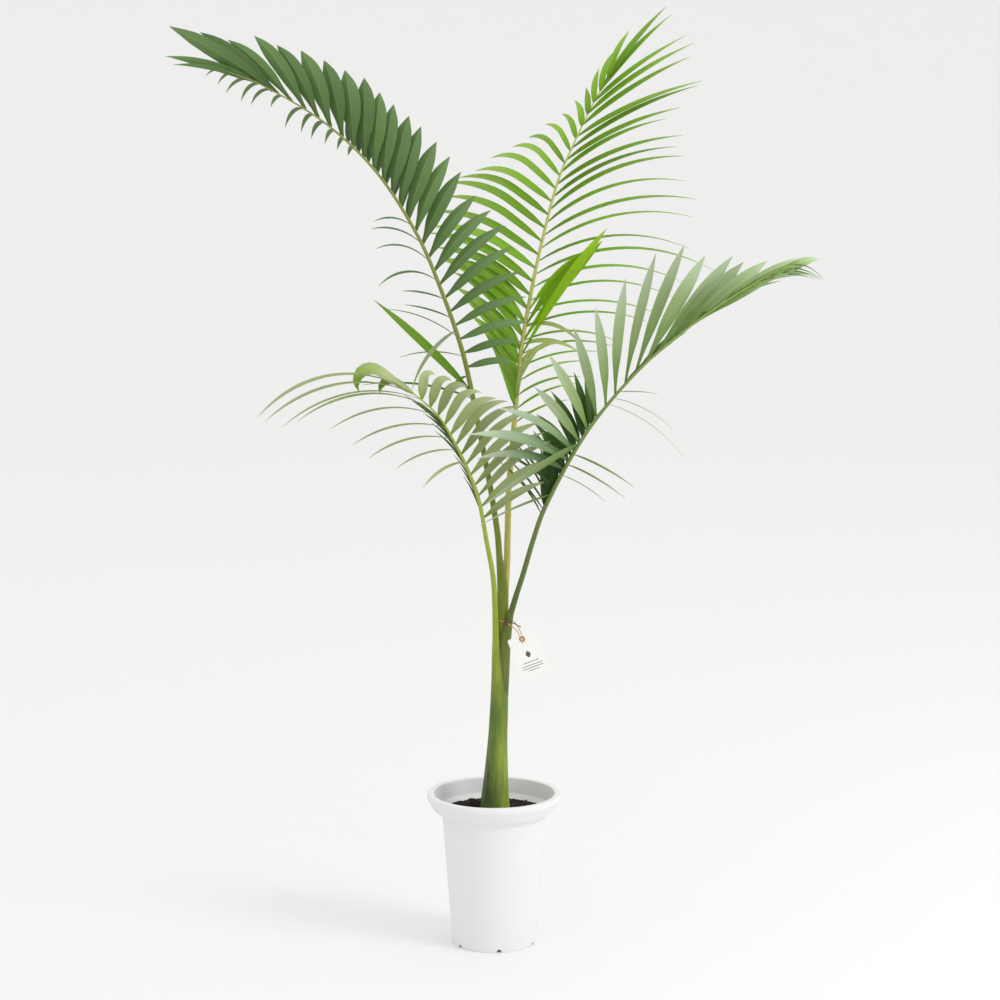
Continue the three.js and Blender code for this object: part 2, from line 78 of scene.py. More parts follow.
# A stalk's route runs from the stem to its tip, in millimetres, and radius is its radius at the
# stem. A group of leaflets is spread evenly between the shares start and end of its length. reach
# is the step from a leaflet's base to its tip and face is where its upper side looks, each at even
# stations along the group. bend is the angle that it droops through beyond the share straight of
# its length, belly moves its widest part towards its tip, and roll turns it about its length.
FRONDS = {
    "high_left": {
        "route": (
            (9, -7, 604), (6, -12, 657), (-6, -25, 737), (-24, -42, 834), (-47, -62, 946),
            (-80, -82, 1045), (-116, -102, 1130), (-174, -126, 1221), (-248, -150, 1293),
            (-333, -172, 1345), (-384, -182, 1366),
        ),
        "radius": 5, "clasp": 628,
        "groups": {
            "upper": {
                "count": 24, "start": 0.355, "end": 0.915,
                "reach": (
                    (70, 15, 5), (110, 20, 22), (113, 25, 58), (98, 25, 86), (74, 25, 94),
                    (52, 25, 106), (36, 25, 114), (22, 25, 116), (4, 25, 114), (-16, 25, 112),
                    (-44, 22, 112), (-80, 18, 106), (-112, 10, 84),
                ),
                "face": ((0.2, 1, -0.1),),
                "bend": (0.5, 0.3, 0.3), "straight": (0.3,), "belly": (1.2, 1.5, 2, 1.9),
                "width": (11, 15, 19, 25, 30, 31, 27, 17),
            },
            "end": {
                "count": 3, "start": 0.925, "end": 0.985,
                "reach": ((-148, 0, 98), (-130, 0, 40), (-98, 0, 18)),
                "face": ((0.3, 1, 0.1),),
                "bend": (0.2, 0.3, 0.4), "belly": (1.6, 1.2, 1), "width": (27, 13, 8),
            },
            "lower": {
                "count": 9, "start": 0.34, "end": 0.61,
                "reach": (
                    (-30, 40, -40), (-100, 60, -10), (-113, 60, 36), (-74, 50, 19),
                    (-66, 50, 11), (-89, 60, -14), (-84, 60, 14), (-78, 60, 17), (-59, 50, 6),
                ),
                "face": ((0.4, 0.3, 1),),
                "bend": (1, 0.5, 0.5, 0.2, 0.3, 1.1, 1, 0.8, 0.8),
                "width": (6, 5, 6, 10, 9, 8, 8, 8, 7),
            },
            "hidden": {
                "count": 8, "start": 0.62, "end": 0.78,
                "reach": ((15, 170, 45), (20, 185, 60), (5, 170, 50)),
                "face": ((-0.3, -0.2, 1),),
                "bend": (0.7,), "width": (18, 16),
            },
            "hooks": {
                "count": 6, "start": 0.765, "end": 0.865,
                "reach": ((-12, 40, -10), (-24, 50, -20), (-34, 50, -26)),
                "face": ((0.3, 0.2, 1),),
                "bend": (1.5,), "width": (8,), "jitter": 1.5,
            },
            "tip_hooks": {
                "count": 6, "start": 0.905, "end": 0.99,
                "reach": ((-24, 40, -14), (-42, 50, -22), (-44, 45, -14), (-50, 30, -4)),
                "face": ((0.3, 0.2, 1),),
                "bend": (1.4,), "width": (8, 7), "jitter": 1.5,
            },
        },
    },
    "high_right": {
        "route": (
            (20, 7, 604), (22, 18, 677), (24, 30, 734), (33, 58, 838), (43, 86, 939),
            (59, 118, 1028), (75, 146, 1100), (101, 184, 1197), (129, 212, 1262),
            (165, 244, 1334), (190, 262, 1372),
        ),
        "radius": 5.2, "clasp": 624,
        "groups": {
            "left": {
                "count": 26, "start": 0.3, "end": 0.985,
                "reach": (
                    (-40, 5, 100), (-80, 5, 100), (-115, 5, 100), (-145, -5, 82), (-172, -20, 72),
                    (-160, -30, 68), (-122, -30, 52), (-68, -28, 44), (-24, -15, 40),
                    (2, -10, 46), (37, -10, 80),
                ),
                "face": ((0.3, -0.7, 0.8),),
                "bend": (0.5, 0.5, 0.6, 0.6, 0.8, 1.2, 0.8, 0.5),
                "straight": (0, 0.2, 0.4, 0.5, 0.2),
                "belly": (1.1,), "width": (20, 24, 24, 20, 19, 16, 13, 10),
            },
            "right": {
                "count": 28, "start": 0.27, "end": 0.985,
                "reach": (
                    (90, 25, 35), (115, 35, 30), (150, 45, 5), (222, 65, -14), (272, 95, 14),
                    (250, 85, 52), (205, 70, 82), (180, 60, 86), (205, 55, 96), (160, 45, 112),
                    (110, 25, 124),
                ),
                "face": ((-0.5, -0.5, 0.9),),
                "bend": (0.6, 0.8, 1, 0.7, 0.35, 0.2),
                "width": (7, 7, 10, 13, 16, 18, 17), "jitter": 2,
            },
            "unsplit": {
                "count": 4, "start": 0.395, "end": 0.485,
                "reach": ((138, 20, 194), (122, 20, 160), (96, 20, 120), (70, 15, 84)),
                "face": ((-0.3, -1, 0.2), (0.3, -1, 0.2)),
                "bend": (0.25, 0.3), "belly": (2.1, 1.8), "width": (15, 17, 15, 10),
                "jitter": 1.2,
            },
            "straw": {
                "count": 5, "start": 0.31, "end": 0.46,
                "reach": (
                    (22, -10, 92), (40, -15, 66), (60, -20, 38), (84, -20, -10), (86, -15, -30),
                ),
                "face": ((-0.6, -1, 0.4),),
                "bend": (0.3, 0.6, 1, 1.3), "width": (8, 9, 7), "jitter": 2.4,
            },
        },
    },
    "right": {
        "route": (
            (21, -10, 455), (24, -12, 500), (27, -14, 536), (45, -28, 597), (61, -42, 655),
            (79, -54, 708), (121, -80, 794), (164, -106, 862), (223, -142, 934),
            (287, -175, 993), (349, -205, 1041), (410, -232, 1080), (439, -245, 1095),
        ),
        "radius": 5, "clasp": 548,
        "groups": {
            "upper": {
                "count": 19, "start": 0.46, "end": 0.98,
                "reach": (
                    (-76, -20, 88), (-34, -10, 138), (0, 0, 172), (62, 5, 196), (92, 5, 152),
                    (114, 0, 118), (130, -5, 92), (132, -10, 72), (114, -15, 54), (80, -10, 32),
                    (40, 0, 12),
                ),
                "face": ((0.1, -1, 0.2),),
                "bend": (0.3, 0.15, 0.1, 0.2, 0.4), "belly": (1.6, 1.9, 2, 1.4),
                # Painted sheen: these leaflets are painted paler and paler towards the frond's tip.
                "width": (16, 16, 16, 22, 21, 12, 8, 7), "painted_sheen": (0, 0.4, 1, 2, 2.6),
                "jitter": 1.8,
            },
            "front": {
                "count": 3, "start": 0.4, "end": 0.44,
                "reach": ((-138, -70, 28), (-155, -80, 48), (-120, -75, 76)),
                "face": ((0.3, -0.7, 0.8),),
                "bend": (0.7, 0.6), "width": (18, 21, 16),
            },
            "crossing": {
                "count": 2, "start": 0.345, "end": 0.46,
                "reach": ((-115, -60, -44), (-152, -80, -88)),
                "face": ((0.5, -0.7, 0.8),),
                "bend": (0.2, 0.15), "width": (4, 11),
            },
            "strays": {
                "count": 7, "start": 0.3, "end": 0.36,
                "reach": ((-58, -20, 66), (-75, -30, 85), (-50, -10, 95), (-95, -20, 60)),
                "face": ((1, -0.5, 0.3),),
                "bend": (0.4,), "width": (5, 6), "jitter": 3,
            },
            "dark": {
                "count": 14, "start": 0.315, "end": 0.5,
                "reach": (
                    (-8, 15, 62), (-22, 10, 72), (-42, 5, 76), (-52, 20, 66), (-32, 30, 80),
                    (-8, 40, 88),
                ),
                "face": ((0.6, -1, 0.3),),
                "bend": (0.4,), "width": (13, 17), "jitter": 2,
            },
            "lower": {
                "count": 18, "start": 0.6, "end": 0.985,
                "reach": (
                    (72, 60, 62), (92, 60, 72), (104, 55, 72), (116, 50, 60), (108, 40, 34),
                    (88, 30, 4), (58, 30, -24),
                ),
                "face": ((-0.5, -0.6, 0.8),),
                "bend": (0.3, 0.4, 0.9), "width": (10, 13, 9, 7), "jitter": 1.6,
            },
            "drooping": {
                "count": 3, "start": 0.388, "end": 0.434,
                "reach": ((66, 25, -44), (90, 22, -52), (96, 22, -54)),
                "face": ((-0.3, -0.2, 1),),
                "bend": (0.3, 0.2), "width": (6, 13, 14),
            },
            "thin": {
                "count": 3, "start": 0.555, "end": 0.585,
                "reach": ((112, 20, -78), (90, 20, -50), (58, 15, -4)),
                "face": ((-0.3, -0.2, 1),),
                "bend": (0.6, 0.6, 0.2), "width": (3, 4, 5),
            },
        },
    },
    "low_left": {
        "route": (
            (0, -12, 440), (3, -13, 501), (2, -20, 537), (-1, -32, 593), (-11, -50, 653),
            (-23, -76, 722), (-39, -98, 771), (-58, -120, 814), (-83, -144, 859),
            (-115, -170, 892), (-144, -194, 913),
        ),
        "radius": 5, "clasp": 506,
        "groups": {
            "right": {
                "count": 13, "start": 0.47, "end": 0.9,
                "reach": (
                    (95, -20, 62), (108, -20, 84), (108, -15, 90), (98, -10, 82), (80, -5, 66),
                    (62, 0, 50), (42, 0, 42), (20, 5, 38),
                ),
                "face": ((-0.3, -1, 0.5),),
                "bend": (0.4, 0.5, 1.0, 2.4), "straight": (0.3, 0.4, 0.6),
                "belly": (1.3,), "width": (13, 15, 16, 17),
            },
            "folded": {
                "count": 2, "start": 0.93, "end": 0.965,
                "reach": ((-50, -15, 2), (-66, -20, -2)),
                "face": ((0.2, -0.6, 1),),
                "bend": (2.5, 2.7), "straight": (0.5, 0.48), "belly": (1.3,), "width": (20, 29),
            },
            "left": {
                "count": 9, "start": 0.66, "end": 0.985,
                "reach": (
                    (-62, -70, -25), (-100, -85, -16), (-128, -95, -10), (-160, -105, -14),
                    (-185, -110, -18), (-202, -105, -20), (-196, -90, -24),
                ),
                "face": ((0.4, 0.1, 1),),
                "bend": (0.7, 0.9, 1.2), "belly": (1.2, 1.5), "width": (7, 7, 9, 10, 17),
                "jitter": 2,
            },
            "bundle": {
                "count": 10, "start": 0.44, "end": 0.78,
                "reach": ((-30, -12, 78), (-46, -18, 68), (-62, -25, 50)),
                "face": ((1, -0.3, 0.4),),
                "bend": (0.4,), "width": (9, 8), "jitter": 1.6,
            },
        },
    },
}

# Single leaflets that stand apart: the frond, the share of its length and the skin each one has
SINGLES = {
    "lime": ("high_left", 0.31, {
        "reach": ((-150, -12, 136),), "face": ((0.5, -0.8, 0.6),), "bend": (0.12,),
        "belly": (1.3,), "width": (17,),
    }),
    "pale": ("high_left", 0.42, {
        "reach": ((-63, -12, -92),), "face": ((-0.6, -0.6, 0.6),), "bend": (0.8,),
        "width": (9,),
    }),
    "wisp": ("high_left", 0.3, {
        "reach": ((-168, -10, 16),), "face": ((0, -0.6, 1),), "bend": (0.6,), "width": (5,),
    }),
}


# ------------------------------------------------------------------ properties

def length(name, default, description):
    return bpy.props.FloatProperty(
        name=name, default=default, description=description, min=0, unit="LENGTH", precision=4,
    )


def colour(name, default, description):
    return bpy.props.StringProperty(name=name, default=default, description=description)


class PalmPotSettings(bpy.types.PropertyGroup):
    wall: length("Wall", 2.5 * MM, "Thickness of the moulded wall")
    collar: length("Collar", 25 * MM, "How far the collar hangs below the rim")
    body_top: length("Body top", 82 * MM, "Outer radius under the collar")
    foot: length("Foot", 66.5 * MM, "Outer radius at the floor")
    mouth: length("Mouth", 95.5 * MM, "Inner radius at the rim")
    notch: length("Notch", 4 * MM, "Radius of each drainage arch in the foot")
    plastic: colour("Plastic", "#e7e8e4", "Colour of the pot")
    soil_drop: length("Soil drop", 32 * MM, "From the rim down to the soil")
    soil: colour("Soil", "#221a14", "Colour of the damp potting soil")
    bark: colour("Bark", "#54402e", "Colour of the bark chips in the soil")


class PalmPlantSettings(bpy.types.PropertyGroup):
    blade: length("Blade thickness", 0.45 * MM, "Thickness of a leaflet")
    rings: bpy.props.IntProperty(
        name="Blade steps", default=14, min=4, description="Steps along each leaflet",
    )
    old_green: colour("Old green", "#58793a", "Leaflets of the tallest left frond")
    new_green: colour("New green", "#93bc36", "Leaflets of the tallest right frond")
    silver_green: colour("Silver green", "#9cb272", "Leaflets of the right frond")
    sage: colour("Sage", "#b0bc84", "Leaflets of the low left frond")
    stem: colour("Stem", "#657a2e", "Skin of the stem")


class PalmTagSettings(bpy.types.PropertyGroup):
    width: length("Width", 46 * MM, "Width of the card")
    height: length("Height", 66 * MM, "Height of the card")
    paper: colour("Paper", "#f7f7f4", "Colour of the coated card")
    ink: colour("Ink", "#5a5d5c", "Colour of the printed leaf mark and rules")


class PalmStageSettings(bpy.types.PropertyGroup):
    lens: bpy.props.FloatProperty(
        name="Lens", default=91.8, description="Focal length in millimetres", unit="CAMERA",
    )
    distance: length("Distance", 3.94, "From the camera to the pot, along the floor")
    height: length("Height", 1.279, "Height of the camera above the floor")
    tilt: bpy.props.FloatProperty(
        name="Tilt", default=math.radians(8.2), subtype="ANGLE", description="Downward tilt",
    )
    floor: colour("Floor", "#f3f3f2", "Colour of the floor and the backdrop")


SETTINGS = {
    "palm_pot": PalmPotSettings,
    "palm_plant": PalmPlantSettings,
    "palm_tag": PalmTagSettings,
    "palm_stage": PalmStageSettings,
}


# ------------------------------------------------------------------ small helpers

def linear(hex_colour):
    """An sRGB hex colour as linear red, green, blue and alpha."""
    def channel(text):
        value = int(text, 16) / 255
        return value / 12.92 if value <= 0.04045 else ((value + 0.055) / 1.055) ** 2.4
    return (*(channel(hex_colour[i:i + 2]) for i in (1, 3, 5)), 1.0)


def mixed(first, second, share):
    """A linear colour between two others."""
    return tuple(a + (b - a) * share for a, b in zip(first, second))


def vary(seed, step):
    """A repeatable number from -1 to 1."""
    value = math.sin(seed * 12.9898 + step * 78.233) * 43758.5453
    return (value - math.floor(value)) * 2 - 1


def along(values, share):
    """The value at a share from 0 to 1 of a list that stands at even stations."""
    if len(values) == 1:
        return values[0]
    place = share * (len(values) - 1)
    before = min(int(place), len(values) - 2)
    rest = place - before
    low, high = values[before], values[before + 1]
    if isinstance(low, tuple):
        return tuple(a + (b - a) * rest for a, b in zip(low, high))
    return low + (high - low) * rest


class Route:
    """A smooth curve through a list of points in millimetres, read by share of its length."""

    STEPS = 400

    def __init__(self, points):
        knots = [Vector(point) * MM for point in points]
        knots = [knots[0] * 2 - knots[1], *knots, knots[-1] * 2 - knots[-2]]
        spans = len(knots) - 3
        self.points = []
        for step in range(self.STEPS + 1):
            place = step / self.STEPS * spans
            span = min(int(place), spans - 1)
            self.points.append(self.between(knots[span:span + 4], place - span))
        self.lengths = [0.0]
        for a, b in zip(self.points, self.points[1:]):
            self.lengths.append(self.lengths[-1] + (b - a).length)

    @staticmethod
    def between(knots, share):
        a, b, c, d = knots
        into, out = (c - a) / 2, (d - b) / 2
        cubic = (b - c) * 2 + into + out
        square = (c - b) * 3 - into * 2 - out
        return cubic * share ** 3 + square * share ** 2 + into * share + b

    def at(self, share):
        target = min(max(share, 0.0), 1.0) * self.lengths[-1]
        low, high = 0, len(self.lengths) - 1
        while high - low > 1:
            middle = (low + high) // 2
            if self.lengths[middle] <= target:
                low = middle
            else:
                high = middle
        span = self.lengths[high] - self.lengths[low]
        return self.points[low].lerp(self.points[high], (target - self.lengths[low]) / span)

    def ahead(self, share):
        step = 0.004
        return (self.at(share + step) - self.at(share - step)).normalized()


def new_object(name, mesh, materials=()):
    made = bpy.data.objects.new(name, mesh)
    bpy.context.scene.collection.objects.link(made)
    for material in materials:
        mesh.materials.append(material)
    return made


def mesh_from(name, vertices, faces, smooth=True):
    mesh = bpy.data.meshes.new(name)
    mesh.from_pydata([tuple(v) for v in vertices], [], faces)
    mesh.update()
    if smooth:
        mesh.shade_smooth()
    return mesh


def line_mesh(points):
    """A mesh of edges that join each point to the next."""
    mesh = bpy.data.meshes.new("line")
    edges = [(i, i + 1) for i in range(len(points) - 1)]
    mesh.from_pydata([tuple(point) for point in points], edges, [])
    return mesh


def ride(made, slot, *nodes):
    """Fixes a finished piece to the object in place of CAD nodes."""
    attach(made, "root")
    if nodes:
        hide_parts(*nodes)
    return made


def rings_mesh(name, rings, closed_ends=True):
    """A closed skin over rings of points that all have the same count."""
    count = len(rings[0])
    vertices = [point for ring in rings for point in ring]
    faces = []
    for row in range(len(rings) - 1):
        for i in range(count):
            j = (i + 1) % count
            faces.append((row * count + i, row * count + j,
                          (row + 1) * count + j, (row + 1) * count + i))
    if closed_ends:
        faces.append(tuple(reversed(range(count))))
        faces.append(tuple(range((len(rings) - 1) * count, len(rings) * count)))
    return mesh_from(name, vertices, faces)


# ------------------------------------------------------------------ node trees

def feed(tree, made, inputs):
    """Gives a node's inputs a value or a link each."""
    for key, value in inputs.items():
        if isinstance(value, bpy.types.Node):
            value = value.outputs[0]
        if isinstance(value, bpy.types.NodeSocket):
            tree.links.new(value, made.inputs[key])
        else:
            made.inputs[key].default_value = value


def node(tree, kind, inputs=None, stops=(), **settings):
    """Adds a node with its settings and its inputs.

    stops are the (place, linear colour) pairs of a colour ramp.
    """
    made = tree.nodes.new(kind)
    for name, value in settings.items():
        setattr(made, name, value)
    for _ in stops[2:]:
        made.color_ramp.elements.new(0.5)
    for place, (share, shade) in enumerate(stops):
        made.color_ramp.elements[place].position = share
        made.color_ramp.elements[place].color = shade
    feed(tree, made, inputs or {})
    return made


def geometry_tree(name, inputs):
    """An empty Geometry Nodes tree with named inputs, and its input and output nodes."""
    tree = bpy.data.node_groups.new(name, "GeometryNodeTree")
    tree.interface.new_socket("Geometry", in_out="INPUT", socket_type="NodeSocketGeometry")
    for label, kind in inputs.items():
        tree.interface.new_socket(label, in_out="INPUT", socket_type=kind)
    tree.interface.new_socket("Geometry", in_out="OUTPUT", socket_type="NodeSocketGeometry")
    return tree, tree.nodes.new("NodeGroupInput"), tree.nodes.new("NodeGroupOutput")


def grown(name, mesh, tree, values):
    """A new object holding what a Geometry Nodes tree makes of a mesh, with nothing live on it."""
    seed = new_object(name + "_seed", mesh)
    modifier = seed.modifiers.new("Grow", "NODES")
    modifier.node_group = tree
    sockets = {
        item.name: item.identifier for item in tree.interface.items_tree
        if item.item_type == "SOCKET" and item.in_out == "INPUT"
    }
    for label, value in values.items():
        modifier[sockets[label]] = value
    graph = bpy.context.evaluated_depsgraph_get()
    result = bpy.data.meshes.new_from_object(
        seed.evaluated_get(graph), preserve_all_data_layers=True, depsgraph=graph,
    )
    result.name = name
    bpy.data.objects.remove(seed)
    return new_object(name, result)


def write_attribute(mesh, name, kind, values):
    layer = mesh.attributes.new(name, kind, "POINT")
    for item, value in zip(layer.data, values):
        if kind == "FLOAT_VECTOR":
            item.vector = value
        else:
            item.value = value


# Each kind of step: its node, the setting that its operation goes to, and its inputs
STEP_KINDS = {
    "number": ("ShaderNodeMath", "operation", (0, 1)),
    "vector": ("ShaderNodeVectorMath", "operation", (0, 1)),
    "scaled": ("ShaderNodeVectorMath", "operation", (0, "Scale")),
    "turned": ("ShaderNodeVectorRotate", "rotation_type", ("Vector", "Axis", "Angle")),
    "read": ("GeometryNodeInputNamedAttribute", "data_type", ("Name",)),
}

ROD_SIDES = 6
HALF_SIDE = math.pi / ROD_SIDES     # half of the rod's side, seen from its middle
KNIFE_EDGE = math.radians(50)       # a sharper edge than this is not shaded smooth

# A leaflet's blade is worked out from a six-sided rod 1 long: x runs across it, z along it, and
# the sign of y tells its upper side from its under side. Each step is its value's name, its kind,
# its operation and what it reads, which is a number or an earlier value.
BLADE_STEPS = (
    *((name, "read", "FLOAT_VECTOR", name) for name in ("root", "start", "axle", "across")),
    *((name, "read", "FLOAT", name) for name in (
        "length", "bend", "straight", "roll", "belly", "width", "fold")),
    ("share", "number", "ADD", "z", 0.5),
    ("aside", "number", "DIVIDE", "x", math.cos(HALF_SIDE)),
    ("side", "number", "SIGN", "y"),
    ("fullness", "number", "POWER", "share", "belly"),

    # The blade runs straight out for a while and then droops round an arc.
    ("curved", "number", "SUBTRACT", 1.0, "straight"),
    ("beyond", "number", "SUBTRACT", "share", "straight"),
    ("arc_part", "number", "DIVIDE", "beyond", "curved"),
    ("arc_share", "number", "MAXIMUM", "arc_part", 0.0),
    ("angle", "number", "MULTIPLY", "bend", "arc_share"),
    ("ahead", "turned", "AXIS_ANGLE", "start", "axle", "angle"),
    ("level", "turned", "AXIS_ANGLE", "across", "axle", "angle"),
    ("twist", "number", "MULTIPLY", "roll", "share"),
    ("wide", "turned", "AXIS_ANGLE", "level", "ahead", "twist"),
    ("over", "vector", "CROSS_PRODUCT", "ahead", "wide"),

    ("droop", "vector", "CROSS_PRODUCT", "axle", "start"),
    ("curved_length", "number", "MULTIPLY", "length", "curved"),
    ("radius", "number", "DIVIDE", "curved_length", "bend"),
    ("straight_share", "number", "MINIMUM", "share", "straight"),
    ("straight_run", "number", "MULTIPLY", "length", "straight_share"),
    ("sine", "number", "SINE", "angle"),
    ("arc_run", "number", "MULTIPLY", "radius", "sine"),
    ("forward", "number", "ADD", "straight_run", "arc_run"),
    ("cosine", "number", "COSINE", "angle"),
    ("sagitta", "number", "SUBTRACT", 1.0, "cosine"),
    ("drop", "number", "MULTIPLY", "radius", "sagitta"),
    ("onward", "scaled", "SCALE", "start", "forward"),
    ("downward", "scaled", "SCALE", "droop", "drop"),
    ("bow", "vector", "ADD", "onward", "downward"),
    ("spine", "vector", "ADD", "root", "bow"),
)

# The blade's width folds up on either side of its middle rib.
EDGE_STEPS = (
    ("full_width", "number", "MULTIPLY", "outline", "width"),
    ("half", "number", "MULTIPLY", "full_width", 0.5),
    ("reach", "number", "MULTIPLY", "aside", "half"),
    ("fold_cosine", "number", "COSINE", "fold"),
    ("sideways", "number", "MULTIPLY", "reach", "fold_cosine"),
    ("out", "number", "ABSOLUTE", "aside"),
    ("reach_out", "number", "MULTIPLY", "out", "half"),
    ("fold_sine", "number", "SINE", "fold"),
    ("raised", "number", "MULTIPLY", "reach_out", "fold_sine"),
    ("thick_side", "number", "MULTIPLY", "side", "thickness"),
    ("depth", "number", "MULTIPLY", "thick_side", 0.5),
    ("height", "number", "ADD", "raised", "depth"),
    ("aside_step", "scaled", "SCALE", "wide", "sideways"),
    ("height_step", "scaled", "SCALE", "over", "height"),
    ("surface", "vector", "ADD", "aside_step", "height_step"),
    ("skin", "vector", "ADD", "spine", "surface"),
)

# How wide a blade is along its length, where 1 is its widest; its two ends come first
BLADE_OUTLINE = (
    (0, 0.2), (1, 0.02), (0.06, 0.5), (0.18, 0.88), (0.38, 1), (0.6, 0.86), (0.8, 0.5),
    (0.93, 0.18),
)


def leaflet_tree():
    """Grows one arched, folded blade at every point of a mesh.

    Each point carries start, the direction that its blade sets out in; axle, the axis that it
    droops about; and its length, width, bend, straight, roll and fold.
    """
    tree, given, out = geometry_tree("Leaflets", {
        "Steps": "NodeSocketInt", "Thickness": "NodeSocketFloat", "Material": "NodeSocketMaterial",
    })
    rod = node(tree, "GeometryNodeMeshCylinder", {
        "Vertices": ROD_SIDES, "Side Segments": given.outputs["Steps"], "Radius": 1.0, "Depth": 1.0,
    })
    turned_rod = node(tree, "GeometryNodeTransform", {
        "Geometry": rod.outputs["Mesh"], "Rotation": (0, 0, HALF_SIDE),
    })
    marked = node(tree, "GeometryNodeStoreNamedAttribute", {
        "Geometry": turned_rod, "Name": "blank", "Value": node(tree, "GeometryNodeInputPosition"),
    }, data_type="FLOAT_VECTOR", domain="POINT")
    placed = node(tree, "GeometryNodeInstanceOnPoints", {
        "Points": given.outputs["Geometry"], "Instance": marked,
    })
    rods = node(tree, "GeometryNodeRealizeInstances", {"Geometry": placed})

    blank = node(
        tree, "GeometryNodeInputNamedAttribute", {"Name": "blank"}, data_type="FLOAT_VECTOR",
    )
    values = dict(zip("xyz", node(tree, "ShaderNodeSeparateXYZ", {0: blank}).outputs))
    values["thickness"] = given.outputs["Thickness"]
    for steps in (BLADE_STEPS, EDGE_STEPS):
        for name, kind, operation, *reads in steps:
            node_kind, setting, keys = STEP_KINDS[kind]
            if kind != "read":
                reads = [values.get(item, item) for item in reads]
            values[name] = node(tree, node_kind, dict(zip(keys, reads)), **{setting: operation})
        if "outline" not in values:
            values["outline"] = node(tree, "ShaderNodeFloatCurve", {"Value": values["fullness"]})
            curve = values["outline"].mapping.curves[0]
            for point, place in zip(curve.points, BLADE_OUTLINE):
                point.location = place
            for place in BLADE_OUTLINE[2:]:
                curve.points.new(*place)
            values["outline"].mapping.update()

    shaped = node(tree, "GeometryNodeSetPosition", {"Geometry": rods, "Position": values["skin"]})
    place = node(tree, "ShaderNodeCombineXYZ", {
        "X": values["aside"], "Y": values["share"], "Z": values["side"],
    })
    stored = node(tree, "GeometryNodeStoreNamedAttribute", {
        "Geometry": shaped, "Name": "leaf_place", "Value": place,
    }, data_type="FLOAT_VECTOR", domain="POINT")
    edge = node(tree, "GeometryNodeInputMeshEdgeAngle")
    sharp = node(tree, "ShaderNodeMath", {
        0: edge.outputs["Unsigned Angle"], 1: KNIFE_EDGE,
    }, operation="GREATER_THAN")
    smooth = node(tree, "GeometryNodeSetShadeSmooth", {
        "Geometry": stored, "Selection": sharp, "Shade Smooth": False,
    }, domain="EDGE")
    real = node(tree, "GeometryNodeRealizeInstances", {"Geometry": smooth})
    finished = node(tree, "GeometryNodeSetMaterial", {
        "Geometry": real, "Material": given.outputs["Material"],
    })
    tree.links.new(finished.outputs[0], out.inputs[0])
    return tree


def stalk_tree():
    """Sweeps a rounded, slightly flattened section along a line whose points carry a radius."""
    tree, given, out = geometry_tree("Stalk", {
        "Sides": "NodeSocketInt", "Material": "NodeSocketMaterial",
    })
    curve = node(tree, "GeometryNodeMeshToCurve", {"Mesh": given.outputs["Geometry"]})
    share = node(tree, "GeometryNodeSplineParameter")
    marked = node(tree, "GeometryNodeStoreNamedAttribute", {
        "Geometry": curve, "Name": "stalk_share", "Value": share.outputs["Factor"],
    }, data_type="FLOAT", domain="POINT")
    section = node(tree, "GeometryNodeCurvePrimitiveCircle", {
        "Resolution": given.outputs["Sides"], "Radius": 1.0,
    })
    flat = node(tree, "GeometryNodeTransform", {
        "Geometry": section.outputs["Curve"], "Scale": (1.0, 0.9, 1.0),
    })
    radius = node(tree, "GeometryNodeInputNamedAttribute", {"Name": "radius"}, data_type="FLOAT")
    swept = node(tree, "GeometryNodeCurveToMesh", {
        "Curve": marked, "Profile Curve": flat, "Scale": radius.outputs[0], "Fill Caps": True,
    })
    smooth = node(tree, "GeometryNodeSetShadeSmooth", {"Geometry": swept})
    real = node(tree, "GeometryNodeRealizeInstances", {"Geometry": smooth})
    finished = node(tree, "GeometryNodeSetMaterial", {
        "Geometry": real, "Material": given.outputs["Material"],
    })
    tree.links.new(finished.outputs[0], out.inputs[0])
    return tree


def chips_tree():
    """Scatters lumps and bark chips over a surface."""
    tree, given, out = geometry_tree("Chips", {
        "Density": "NodeSocketFloat", "Size": "NodeSocketFloat", "Seed": "NodeSocketInt",
        "Material": "NodeSocketMaterial",
    })
    points = node(tree, "GeometryNodeDistributePointsOnFaces", {
        "Mesh": given.outputs["Geometry"], "Density": given.outputs["Density"],
        "Seed": given.outputs["Seed"],
    })
    lump = node(tree, "GeometryNodeMeshIcoSphere", {"Radius": 1.0, "Subdivisions": 1})
    turn = node(tree, "FunctionNodeRandomValue", {
        0: (0, 0, 0), 1: (math.tau, math.tau, math.tau), "Seed": 3,
    }, data_type="FLOAT_VECTOR")
    squash = node(tree, "FunctionNodeRandomValue", {
        0: (0.5, 0.3, 0.2), 1: (1.6, 1.0, 0.7), "Seed": 5,
    }, data_type="FLOAT_VECTOR")
    size = node(tree, "ShaderNodeVectorMath", {
        0: squash.outputs[0], "Scale": given.outputs["Size"],
    }, operation="SCALE")
    placed = node(tree, "GeometryNodeInstanceOnPoints", {
        "Points": points.outputs["Points"], "Instance": lump.outputs["Mesh"],
        "Rotation": turn.outputs[0], "Scale": size,
    })
    real = node(tree, "GeometryNodeRealizeInstances", {"Geometry": placed})
    finished = node(tree, "GeometryNodeSetMaterial", {
        "Geometry": real, "Material": given.outputs["Material"],
    })
    tree.links.new(finished.outputs[0], out.inputs[0])
    return tree


# ------------------------------------------------------------------ materials

def material_tree(name):
    """A new material's node tree, its Principled shader and its output."""
    made = bpy.data.materials.new(name)
    made.use_nodes = True
    tree = made.node_tree
    return made, tree, tree.nodes["Principled BSDF"], tree.nodes["Material Output"]


